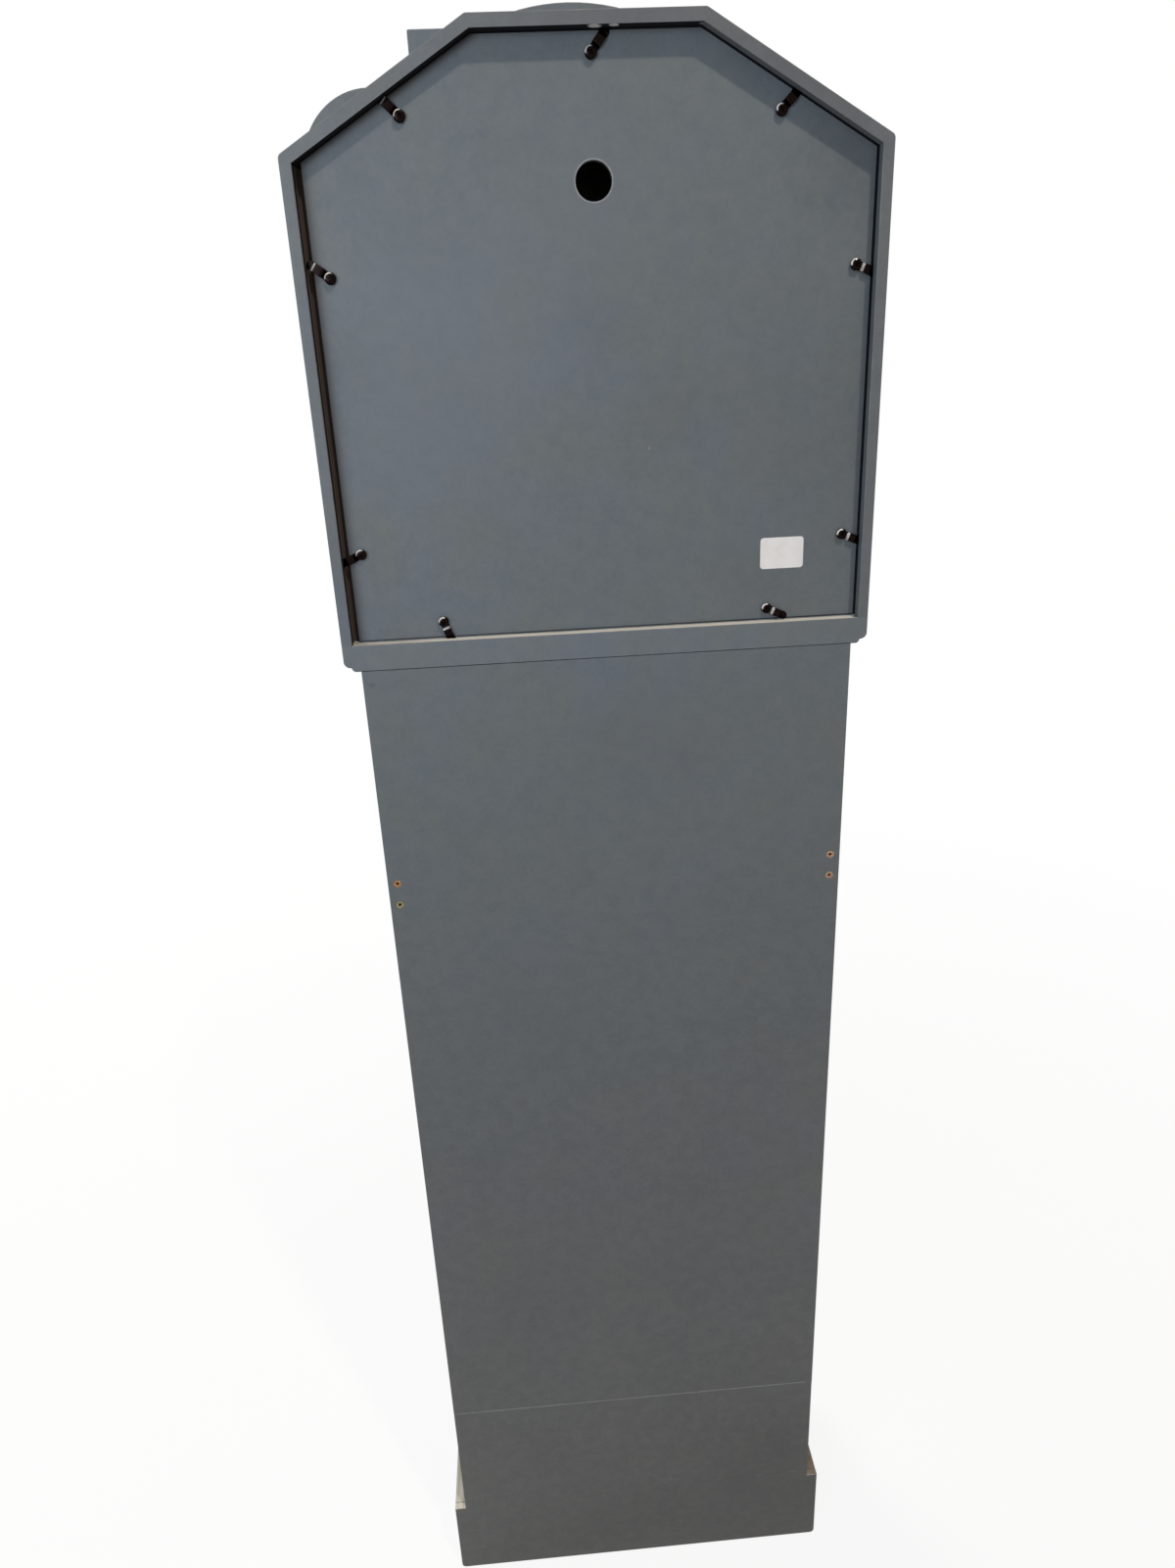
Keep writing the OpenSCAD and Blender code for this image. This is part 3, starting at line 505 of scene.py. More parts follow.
@dataclass(frozen=True)
class TornWood(Finish):
    """Fibre pulled up round an old screw hole: rough and orange-brown, with painted shade, nearly
    black, deep down.
    """

    pale: str = "#d9a671"
    dark: str = "#8d5c34"
    shade_deep_down: str = "#1c130c"
    shadow_depth: float = 0.25
    roughness: float = 0.9

    def dress(self, paint: Painter, shader: bpy.types.Node) -> None:
        """Shades the fibres, and paints shade, nearly black, on what lies below the face of the
        board.

        Args:
            paint: Patterns on the material's tree.
            shader: The Principled shader.
        """
        fibre = paint.clouds(1.2, 4)
        colour = paint.layer(linear(self.dark), self.pale, fibre, 0.35, 0.65)
        y = add_node(paint.tree, "ShaderNodeSeparateXYZ", (paint.coords,)).outputs["Y"]
        start = BACK_Y - self.shadow_depth * MM
        relief = {"Height": fibre, "Distance": 0.3 * MM, "Strength": 0.8}
        self.fill(
            paint,
            shader,
            Base_Color=paint.layer(
                colour, self.shade_deep_down, y, start - 0.6 * MM, start, 1.0, 0.0
            ),
            Roughness=self.roughness,
            Normal=add_node(paint.tree, "ShaderNodeBump", relief).outputs[0],
            IOR=PAINT_IOR,
        )


@dataclass(frozen=True)
class BlackenedSteel(Finish):
    """Pressed steel, blackened and oiled: a warm, nearly black metal with soft ripples.

    Painted highlights: where the attribute says so, a pale coat shows through the black, which
    shines far less.
    """

    colour: str = "#150f0e"
    thin: str = "#1f1815"
    glint_colour: str = "#f4f1ea"
    roughness: float = 0.2

    def dress(self, paint: Painter, shader: bpy.types.Node) -> None:
        """Gives the metal its ripple, thins the black in places and paints highlights on it as pale
        places where it seems rubbed through.

        Args:
            paint: Patterns on the material's tree.
            shader: The Principled shader.
        """
        tree = paint.tree
        ripple = paint.clouds(2.5, 2)
        thinner = paint.clouds(3, 4, shift=2.0)
        colour = paint.layer(linear(self.colour), self.thin, thinner, 0.55, 0.8, 0.0, 0.5)
        # Painted highlights: where the attribute marks glints, the pale colour is laid over the
        # black and the metal is made dull.
        worn_or_glinting = add_node(tree, "ShaderNodeAttribute", attribute_name=WEAR_AND_GLINT).outputs["Fac"]
        inputs = (paint.clouds(1.8, 3, shift=4.0), 0.3, 0.5, 0.6, 1.0)
        ragged = add_node(tree, "ShaderNodeMapRange", inputs).outputs[0]
        rubbed_or_glinting = add_node(tree, "ShaderNodeMath", (worn_or_glinting, ragged), operation="MULTIPLY").outputs[0]
        glint_metallic = (rubbed_or_glinting, 0.0, 0.5, 1.0, 0.0)
        oiled = (ripple, 0.3, 0.7, self.roughness - 0.05, self.roughness + 0.08)
        relief = {"Height": ripple, "Distance": 0.03 * MM, "Strength": 0.5}
        self.fill(
            paint,
            shader,
            Base_Color=paint.layer(colour, self.glint_colour, rubbed_or_glinting),
            Metallic=add_node(tree, "ShaderNodeMapRange", glint_metallic).outputs[0],
            Roughness=add_node(tree, "ShaderNodeMapRange", oiled).outputs[0],
            Normal=add_node(tree, "ShaderNodeBump", relief).outputs[0],
        )


@dataclass(frozen=True)
class CoatedPaper(Finish):
    """A coated paper label: bright, smooth and faintly uneven where the glue lies under it."""

    colour: str = "#fdfcf8"
    uneven: str = "#f5f3ec"
    roughness: float = 0.55

    def dress(self, paint: Painter, shader: bpy.types.Node) -> None:
        """Tints the paper a little in clouds, and lets its fibres show.

        Args:
            paint: Patterns on the material's tree.
            shader: The Principled shader.
        """
        relief = {"Height": paint.clouds(3, 3), "Distance": 0.05 * MM, "Strength": 0.6}
        self.fill(
            paint,
            shader,
            Base_Color=paint.cloudy(12, 3, self.colour, self.uneven, 0.35, 0.7),
            Roughness=self.roughness,
            Normal=add_node(paint.tree, "ShaderNodeBump", relief).outputs[0],
            IOR=PAINT_IOR,
        )


@dataclass(frozen=True)
class FloatGlass(Finish):
    """Clear float glass, flat and polished, with the faintest haze of dust."""

    colour: str = "#f4f8f7"

    def dress(self, paint: Painter, shader: bpy.types.Node) -> None:
        """Lets light through, and clouds the gloss a little.

        Args:
            paint: Patterns on the material's tree.
            shader: The Principled shader.
        """
        haze = (paint.clouds(40, 4), 0.45, 0.8, 0.0, 0.05)
        self.fill(
            paint,
            shader,
            Base_Color=linear(self.colour),
            Roughness=add_node(paint.tree, "ShaderNodeMapRange", haze).outputs[0],
            Transmission_Weight=1.0,
            IOR=PAINT_IOR,
        )


@dataclass(frozen=True)
class DialEnamel(Finish):
    """Cream stove enamel on a thin steel plate: smooth, with warm clouds of age."""

    colour: str = "#e9e2cf"
    aged: str = "#d9cfb4"
    roughness: float = 0.32

    def dress(self, paint: Painter, shader: bpy.types.Node) -> None:
        """Ages the cream in clouds, under a clear gloss.

        Args:
            paint: Patterns on the material's tree.
            shader: The Principled shader.
        """
        relief = {"Height": paint.clouds(14, 2), "Distance": 0.03 * MM, "Strength": 0.4}
        self.fill(
            paint,
            shader,
            Base_Color=paint.cloudy(90, 4, self.colour, self.aged, 0.4, 0.75),
            Roughness=self.roughness,
            Normal=add_node(paint.tree, "ShaderNodeBump", relief).outputs[0],
            IOR=PAINT_IOR,
        )


@dataclass(frozen=True)
class PrintedInk(Finish):
    """Black dial ink or the black paint of the hands: a soft satin black, thinner in places."""

    colour: str = "#17151a"
    thin: str = "#2e2b2c"
    roughness: float = 0.42

    def dress(self, paint: Painter, shader: bpy.types.Node) -> None:
        """Thins the black in small clouds.

        Args:
            paint: Patterns on the material's tree.
            shader: The Principled shader.
        """
        self.fill(
            paint,
            shader,
            Base_Color=paint.cloudy(6, 3, self.colour, self.thin, 0.5, 0.8, 0.0, 0.5),
            Roughness=self.roughness,
            IOR=PAINT_IOR,
        )


@dataclass(frozen=True)
class MouldedPlastic(Finish):
    """Black moulded ABS with a fine spark-eroded grain."""

    colour: str = "#1d1d1e"
    scuffed: str = "#29292a"
    roughness: float = 0.48
    ior: float = 1.53

    def dress(self, paint: Painter, shader: bpy.types.Node) -> None:
        """Gives the plastic its grain.

        Args:
            paint: Patterns on the material's tree.
            shader: The Principled shader.
        """
        relief = {"Height": paint.clouds(1.0, 2), "Distance": 0.05 * MM, "Strength": 0.5}
        self.fill(
            paint,
            shader,
            Base_Color=paint.cloudy(20, 2, self.colour, self.scuffed, 0.4, 0.7),
            Roughness=self.roughness,
            Normal=add_node(paint.tree, "ShaderNodeBump", relief).outputs[0],
            IOR=self.ior,
        )


@dataclass(frozen=True)
class SheetMetal(Finish):
    """Brass or zinc-plated steel, turned or rolled: fine lines one way, and tarnish in clouds."""

    colour: str = "#c29a52"
    tarnish: str = "#7d5f30"
    grain: Axis = Axis.Z
    roughness: float = 0.28

    def dress(self, paint: Painter, shader: bpy.types.Node) -> None:
        """Draws the lines of the rolling or turning, and tarnishes the metal.

        Args:
            paint: Patterns on the material's tree.
            shader: The Principled shader.
        """
        lines = paint.streaks(self.grain, 30, 0.9)
        brushed = (lines, 0.3, 0.7, self.roughness - 0.06, self.roughness + 0.14)
        relief = {"Height": lines, "Distance": 0.02 * MM, "Strength": 0.5}
        self.fill(
            paint,
            shader,
            Base_Color=paint.cloudy(11, 4, self.colour, self.tarnish, 0.42, 0.75, 0.0, 0.7),
            Metallic=1.0,
            Roughness=add_node(paint.tree, "ShaderNodeMapRange", brushed).outputs[0],
            Normal=add_node(paint.tree, "ShaderNodeBump", relief).outputs[0],
        )


CARCASE_PAINT = SatinPaint("satin_paint_on_board")
EDGE_PAINT = SatinPaint(
    "satin_paint_on_hood_edges",
    colour="#5d6367",
    blue_cloud="#5d656d",
    green_cloud="#5f6462",
    edge_wear=0.5,
    blotches=(
        # The first two are painted shade, darkening the top and the right chamfer of the back view;
        # the third is a darker patch low on the left side.
        Blotch(-30, 0, 1806, 130, "#545557", 0.7),
        Blotch(-180, 0, 1770, 110, "#4f5254", 0.75),
        Blotch(236, 0, 1390, 60, "#575c60", 0.5),
    ),
)
PANEL_PAINT = SatinPaint(
    "satin_paint_on_hood_back",
    # Painted shade: a dark line drawn along the foot of the panel.
    shade_line_below=1319.7,
    # Painted shade along the panel's left side and its left chamfer, left of the back view.
    shades=(CornerShade(1.0, 0.0, 217.0, 235.0), CornerShade(0.5052, 0.8630, 1590.0, 1597.6)),
    blotches=(
        # Partly smudges and partly painted light and shade: lighter towards the left of the back
        # view, darker towards the right. The one at x -222 is a painted shadow under the right
        # chamfer.
        Blotch(7, 14, 1587, 42, "#5a5f64", 0.45),
        Blotch(-60, 14, 1512, 60, "#5b6061", 0.45),
        Blotch(-142, 14, 1359, 55, "#5b6063", 0.35),
        Blotch(120, 14, 1590, 130, "#6c747b", 0.55),
        Blotch(10, 14, 1665, 90, "#6b7176", 0.4),
        Blotch(150, 14, 1500, 110, "#666e75", 0.5),
        Blotch(-215, 14, 1500, 150, "#575c5e", 0.4),
        Blotch(-222, 14, 1700, 66, "#4a5054", 0.65),
        Blotch(-44, 14, 1481, 1.6, "#8b8f90", 0.8, 0.5),
    ),
)
TRUNK_PAINT = SatinPaint(
    "satin_paint_on_trunk_back",
    blotches=(
        Blotch(-73, 0, 1185, 50, "#585d61", 0.3),
        Blotch(-20, 0, 1215, 80, "#5c6266", 0.45),
        Blotch(226, 0, 1279, 5, "#4b4f52", 0.6),
        Blotch(90, 0, 900, 120, "#5d6264", 0.4),
        # These dark patches low down are partly smudges and partly painted shade, darkening the
        # foot and the lower right of the back view.
        Blotch(-190, 0, 175, 42, "#464646", 0.6),
        Blotch(-230, 0, 110, 280, "#474746", 0.5),
        Blotch(0, 0, 40, 260, "#3b3b3b", 0.3),
        Blotch(-170, 0, 100, 170, "#373737", 0.4),
        Blotch(-140, 0, 122, 34, "#3d3d3d", 0.35),
    ),
)
# Painted shade: a near-black paint for the hood's inner walls, kerfs and rebate, the joint under
# its floor, the foot of the back panel and the inside of the finger hole's lip, where these lie in
# shade. Its pale blotches are scrapes.
SHADED_PAINT = SatinPaint(
    "painted_shade_near_black",
    colour="#0e1014",
    blue_cloud="#10131a",
    green_cloud="#0f0f0f",
    foot="#0f1012",
    primer="#202022",
    roughness=0.8,
    gloss=0.1,
    edge_wear=0.0,
    blotches=(
        Blotch(-6, 5, 1799, 6.2, "#fafcfd", 1.0, 0.25),
        Blotch(-21.5, 4, 1799, 4.4, "#f4f8fa", 1.0, 0.25),
        Blotch(-91.5, 6, 1799, 3.0, "#8d969c", 0.9, 0.3),
    ),
)
RAIL_PAINT = SatinPaint(
    "satin_paint_on_hood_floor",
    colour="#646d72",
    blue_cloud="#636d76",
    green_cloud="#666d6c",
    edge_wear=0.5,
)
REBATE_WOOD = BareWood("stained_wood_in_rebate", "#4b403b", "#3e3430", Axis.Z)
LEDGE_WOOD = BareWood(
    "sawn_wood_of_ledge",
    pale="#e8e6dd",
    dark="#cbc8bc",
    grain_length=120,
    stains=(
        Blotch(235, 4, 1317, 26, "#958c7d", 0.85),
        Blotch(196, 4, 1317, 36, "#a7a092", 0.75),
        Blotch(-240, 5, 1317, 5, "#5f686d", 1.0, 0.4),
    ),
)
# One bare wood in two copies: this pale one carries painted light, and the brown one below carries
# painted shade.
LIT_LEDGE_FOOT = BareWood(
    "sawn_wood_of_plinth_painted_lit", "#d6d2c6", "#aaa392", Axis.Y, grain_length=90, grain_width=3
)
SHADED_LEDGE_FOOT = BareWood(
    "sawn_wood_of_plinth_painted_shade", "#a69a89", "#756c5e", Axis.Y, grain_length=90, grain_width=3
)
INSIDE_BOARD = BareWood("raw_fibreboard_inside", "#a8916b", "#927b57", Axis.Z, grain_width=4)
SHELF_BOARD = BareWood("sanded_pine_of_shelves", "#c6ab7c", "#a07f4e", grain_length=180)
RIM_PAINT = BareWood("rubbed_rim_of_finger_hole", "#9a9e9f", "#7f8587", grain_width=1.5)
# Cut fibre, drawn nearly black as painted shade inside the finger hole.
HOLE_FIBRE_IN_SHADE = BareWood("cut_fibre_in_painted_shade", "#35322d", "#211f1c", Axis.Y, grain_width=1.5)
TORN_FIBRE = TornWood("torn_fibre_of_screw_hole")
TORN_PALE_FIBRE = TornWood("pale_fibre_of_screw_hole", pale="#dcb897", dark="#966f50")
TORN_GREY_FIBRE = TornWood("greyed_fibre_of_screw_hole", pale="#b5ae7c", dark="#77704c")
FILLER = SatinPaint(
    "rubbed_filler_in_joint",
    colour="#84888b",
    blue_cloud="#7e8387",
    green_cloud="#87887f",
    foot="#868889",
    primer="#9b9c98",
)
BLACK_STEEL = BlackenedSteel("oiled_black_steel")
PAPER = CoatedPaper("coated_label_paper")
GLASS = FloatGlass("clear_float_glass")
ENAMEL = DialEnamel("cream_dial_enamel")
INK = PrintedInk("black_dial_ink")
HAND_PAINT = PrintedInk("black_hand_paint", colour="#121114", roughness=0.3)
PLASTIC = MouldedPlastic("black_moulded_abs")
BRASS = SheetMetal("aged_brass")
ZINC = SheetMetal("zinc_plated_steel", "#b9bcbe", "#84888b", Axis.X, roughness=0.34)
CELL_JACKET = SheetMetal("plain_cell_jacket", "#6f777d", "#4f565b", Axis.X, roughness=0.4)


# Mesh work


@dataclass(frozen=True)
class Zone:
    """Faces of a piece that carry another finish, told by a face's middle and its normal."""

    finish: Finish
    holds: Callable[[Vector, Vector], bool]


@dataclass(frozen=True)
class Ease:
    """How the arrises of a board are taken off."""

    width: float = 1.0
    steps: int = 2
    from_angle: float = 28.0
    smooth_to: float = 32.0


SOFT_ARRIS = Ease(1.2)
FINE_ARRIS = Ease(0.5)


def piece_from(
    name: str,
    mesh: Mesh,
    finish: Finish,
    body: str = CABINET,
    replaced: Sequence[str] = (),
    zones: Sequence[Zone] = (),
    smooth_to: float = 35.0,
) -> None:
    """Makes an object of a mesh, dresses it and lets it ride on a body.

    Args:
        name: The piece's name.
        mesh: Its mesh, which is freed.
        finish: The finish of its faces.
        body: The body that it moves with.
        replaced: The nodes that it stands for.
        zones: Faces with another finish.
        smooth_to: Degrees between two faces up to which they shade as one.
    """
    bmesh.ops.recalc_face_normals(mesh, faces=mesh.faces)
    for face in mesh.faces:
        face.smooth = True
        centre, normal = face.calc_center_median(), face.normal
        for number, zone in enumerate(zones, start=1):
            if zone.holds(centre, normal):
                face.material_index = number
    data = bpy.data.meshes.new(name)
    mesh.to_mesh(data)
    mesh.free()
    for used in (finish, *(zone.finish for zone in zones)):
        data.materials.append(used.material())
    data.set_sharp_from_angle(angle=math.radians(smooth_to))
    piece = add_object(name, data)
    weighted = piece.modifiers.new("even_shading", "WEIGHTED_NORMAL")
    weighted.keep_sharp = True
    weighted.weight = FLAT_WEIGHT
    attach(piece, body)
    if replaced:
        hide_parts(*replaced)
    log.info("%s: %d faces on %s", name, len(data.polygons), body)


def node_mesh(node: str) -> Mesh:
    """A working copy of a node's mesh, with doubled points joined and flat faces made whole.

    Args:
        node: The node's name.

    Returns:
        The copy, which the caller frees.
    """
    mesh = bmesh.new()
    mesh.from_mesh(frame["nodes"][node].data)
    bmesh.ops.remove_doubles(mesh, verts=mesh.verts, dist=JOIN_WITHIN)
    flat = math.radians(FLAT_WITHIN)
    bmesh.ops.dissolve_limit(mesh, angle_limit=flat, verts=mesh.verts, edges=mesh.edges)
    return mesh


def touch_key(point: Vector) -> tuple[int, ...]:
    """A point rounded to a hundredth of a millimetre, to find points that two boards share."""
    return tuple(round(c * TOUCH_GRID) for c in point)


def ease_edges(
    mesh: Mesh,
    ease: Ease,
    flush: set[tuple[int, ...]] = frozenset(),
    glued_at: Callable[[Vector], bool] = lambda middle: False,
) -> None:
    """Rounds the arrises of a mesh and marks the new faces as worn.

    Args:
        mesh: The mesh, which is changed.
        ease: How much comes off.
        flush: Points shared with a board that is glued on flush, whose edges stay sharp.
        glued_at: Whether the middle of an edge lies in such a glued joint.
    """
    wear_and_glint = mesh.faces.layers.float.new(WEAR_AND_GLINT)
    limit = math.radians(ease.from_angle)
    arrises = [
        e
        for e in mesh.edges
        if len(e.link_faces) == 2
        and e.calc_face_angle(0.0) > limit
        and not all(touch_key(v.co) in flush for v in e.verts)
        and not glued_at((e.verts[0].co + e.verts[1].co) / 2)
    ]
    made = bmesh.ops.bevel(
        mesh,
        geom=arrises,
        offset=ease.width * MM,
        offset_type="OFFSET",
        segments=ease.steps,
        profile=0.5,
        affect="EDGES",
        clamp_overlap=True,
    )
    for face in made["faces"]:
        face[wear_and_glint] = 1.0


def eased_board(
    node: str,
    finish: Finish,
    body: str = CABINET,
    ease: Ease = SOFT_ARRIS,
    flush_with: Sequence[str] = (),
    zones: Sequence[Zone] = (),
    glued_at: Callable[[Vector], bool] = lambda middle: False,
) -> None:
    """Stands for a node with a copy whose arrises are eased.

    Args:
        node: The node's name.
        finish: The finish of its faces.
        body: The body that it moves with.
        ease: How much comes off its arrises.
        flush_with: Nodes that are glued on flush at a mitre.
        zones: Faces with another finish.
        glued_at: Whether the middle of an edge lies in a glued joint, which is painted over.
    """
    touching = [v for other in flush_with for v in frame["nodes"][other].data.vertices]
    shared = {touch_key(v.co) for v in touching}
    mesh = node_mesh(node)
    ease_edges(mesh, ease, shared, glued_at)
    name = f"{node}_finished"
    piece_from(name, mesh, finish, body, (node,), zones, ease.smooth_to)


def wrap(mesh: Mesh, rings: Sequence[Sequence[Vert]]) -> None:
    """Joins each ring of points to the next with four-sided faces.

    Args:
        mesh: The mesh that has the points.
        rings: Rings with the same number of points.
    """
    for low, high in zip(rings, rings[1:]):
        for i in range(len(low)):
            j = (i + 1) % len(low)
            mesh.faces.new((low[i], low[j], high[j], high[i]))


def close(mesh: Mesh, rings: Sequence[Sequence[Vert]]) -> None:
    """Puts a face over the first ring of points and over the last."""
    mesh.faces.new(rings[0])
    mesh.faces.new(reversed(rings[-1]))


def lathe(
    mesh: Mesh, profile: Sequence[tuple[float, float]], to_place: Matrix, steps: int = 64
) -> None:
    """Turns a profile round an axis and adds it to a mesh.

    Args:
        mesh: The mesh that takes it.
        profile: Millimetres from the axis and along it. Both ends are on the axis, or the last
            point is the first again, which gives a ring.
        to_place: Takes the turned shape, whose axis is Z, to its place.
        steps: Faces round the axis.
    """
    angles = [2 * math.pi * i / steps for i in range(steps)]
    rings = []
    for radius, height in profile:
        r, up = radius * MM, height * MM
        round_axis = angles[:1] if radius == 0 else angles
        points = [Vector((r * math.cos(a), r * math.sin(a), up)) for a in round_axis]
        rings.append([mesh.verts.new(to_place @ point) for point in points])
    for low, high in zip(rings, rings[1:]):
        for i in range(steps):
            j = (i + 1) % steps
            below = [low[i % len(low)], low[j % len(low)]]
            above = [high[j % len(high)], high[i % len(high)]]
            mesh.faces.new(dict.fromkeys(below + above))


def prism(
    mesh: Mesh,
    outline: Sequence[tuple[float, float]],
    start: float,
    end: float,
    to_place: Matrix,
    taper: float = 1.0,
) -> None:
    """Adds a straight or tapered solid with flat ends.

    Args:
        mesh: The mesh that takes it.
        outline: Corners in millimetres.
        start: Height of the first end, in millimetres.
        end: Height of the second end.
        to_place: Takes the solid, which rises along Z, to its place.
        taper: Size of the second end beside the first.
    """
    rings = []
    for size, up in ((1.0, start), (taper, end)):
        points = [Vector((x * size * MM, y * size * MM, up * MM)) for x, y in outline]
        rings.append([mesh.verts.new(to_place @ point) for point in points])
    close(mesh, rings)
    wrap(mesh, rings)


def cut_out(mesh: Mesh, cutter: Mesh) -> Mesh:
    """Cuts one solid out of another.

    Args:
        mesh: The solid, which is freed.
        cutter: What is cut away, which is freed too.

    Returns:
        The solid that is left.
    """
    objects = []
    for name, source in (("cut_solid", mesh), ("cut_tool", cutter)):
        bmesh.ops.recalc_face_normals(source, faces=source.faces)
        data = bpy.data.meshes.new(name)
        source.to_mesh(data)
        source.free()
        objects.append(add_object(name, data))
    solid, tool = objects
    cut = solid.modifiers.new("cut", "BOOLEAN")
    cut.operation = "DIFFERENCE"
    cut.solver = "EXACT"
    cut.object = tool
    graph = bpy.context.evaluated_depsgraph_get()
    left = bmesh.new()
    left.from_object(solid, graph)
    for used in objects:
        data = used.data
        bpy.data.objects.remove(used)
        bpy.data.meshes.remove(data)
    return left


def copy_into(target: Mesh, source: Mesh, to_place: Matrix) -> None:
    """Adds a placed copy of one mesh to another, with its wear and its painted highlights.

    Args:
        target: The mesh that takes the copy.
        source: The mesh that is copied.
        to_place: Takes the copy to its place.
    """
    layers = target.verts.layers.float
    wear_and_glint = layers.get(WEAR_AND_GLINT) or layers.new(WEAR_AND_GLINT)
    source_wear = source.verts.layers.float.get(WEAR_AND_GLINT)
    made = {v: target.verts.new(to_place @ v.co) for v in source.verts}
    if source_wear:
        for vert, copied in made.items():
            copied[wear_and_glint] = vert[source_wear]
    for face in source.faces:
        target.faces.new([made[v] for v in face.verts])


# The hood


@dataclass(frozen=True)
class HoodShell:
    """The six-sided frame of the hood: sides, chamfers, top and moulded floor."""

    lip_depth: float = 14.0
    kerf_depth: float = 9.0
    arris_depth: float = 0.9
    shell_depth: float = 230.0
    inner_x: float = 240.0
    middle_z: float = 1.5
    ledge_h: float = 7.0
    ledge_z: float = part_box("hood_side_left")[0].z

    def build(self) -> None:
        """Builds the five mitred boards and the floor."""
        sides = ("hood_side_left", "hood_side_right")
        chamfers = ("hood_chamfer_left", "hood_chamfer_right")
        for side, chamfer in zip(sides, chamfers):
            self.board(side, (chamfer,))
            self.board(chamfer, (side, "hood_top_board"))
        self.board("hood_top_board", chamfers)
        self.floor()

    def outward(self, centre: Vector, normal: Vector) -> float:
        """How far a face looks away from the middle of the hood, below nought for inwards."""
        return normal.x * centre.x + normal.z * (centre.z - self.middle_z)

    def inside(self, centre: Vector, normal: Vector) -> bool:
        """Whether a face lies deeper than the panel's face and looks inwards or backwards."""
        inwards = self.outward(centre, normal) < 0.01
        return depth_of(centre) > self.lip_depth + 0.1 and (inwards or normal.y > 0.5)

    def board(self, node: str, mitred_to: Sequence[str]) -> None:
        """Builds one board of the frame.

        Args:
            node: The board's node.
            mitred_to: Its neighbours, to which it is glued and painted over.
        """
        # Painted shade: inside the rebate the wood is brown on hood_side_right, where light falls
        # into the gap, and near black on the other boards. The kerfs are near black too, and so are
        # the whole inner walls of the boards whose names don't end in left.
        brown = node == "hood_side_right"
        zones = [
            Zone(REBATE_WOOD if brown else SHADED_PAINT, self.inside),
            Zone(SHADED_PAINT, self.kerf if node.endswith("left") else self.wall),
        ]
        eased_board(
            node,
            EDGE_PAINT,
            flush_with=mitred_to,
            zones=zones,
            ease=Ease(0.8),
            glued_at=lambda middle: middle.z < self.ledge_z + 0.1 * MM,
        )

    def wall(self, centre: Vector, normal: Vector) -> bool:
        """Tells the inner wall of a board, between its lip and the panel's face.

        Args:
            centre: The middle of a face.
            normal: Its normal.

        Returns:
            Whether the face is on that wall.
        """
        inwards = self.outward(centre, normal) < -0.05
        deep = self.arris_depth < depth_of(centre) < self.lip_depth + 0.1
        return deep and (inwards or normal.y > 0.5)

    def kerf(self, centre: Vector, normal: Vector) -> bool:
        """Whether a face is in the saw kerf of a board."""
        return self.wall(centre, normal) and depth_of(centre) > self.kerf_depth

    def on_ledge(self, centre: Vector, normal: Vector) -> bool:
        """Tells the bare ledge of the floor, between the sides of the hood.

        Args:
            centre: The middle of a face.
            normal: Its normal.

        Returns:
            Whether the face is on that ledge.
        """
        level = centre.z > self.ledge_z - self.ledge_h * MM
        sunk = normal.z > 0.5 or centre.z < self.ledge_z - 1 * MM
        between_sides = abs(centre.x) < (self.inner_x + 0.5) * MM
        return level and sunk and between_sides and 0.6 < depth_of(centre) < self.shell_depth

    def floor(self) -> None:
        """Builds the floor, whose ledge under the panel is bare wood.

        Its joints with the sides are painted over, so its upper edge is eased only between them.
        """
        mesh = node_mesh("hood_floor")
        for x in (-self.inner_x, self.inner_x):
            bmesh.ops.bisect_plane(
                mesh,
                geom=[*mesh.verts, *mesh.edges, *mesh.faces],
                dist=0.01 * MM,
                plane_co=(x * MM, 0, 0),
                plane_no=(1, 0, 0),
            )
        ease_edges(
            mesh,
            Ease(0.7, from_angle=40),
            glued_at=lambda m: abs(m.x) > self.inner_x * MM and m.z > self.ledge_z - 0.1 * MM,
        )
        piece_from(
            "hood_floor_finished",
            mesh,
            RAIL_PAINT,
            replaced=("hood_floor",),
            zones=[
                Zone(LEDGE_WOOD, self.on_ledge),
                # Painted shade: the lower arris of the floor's back edge is drawn near black, as
                # the shadow line under the rail.
                Zone(SHADED_PAINT, lambda c, n: n.z < -0.3 and depth_of(c) < 1.2),
            ],
        )


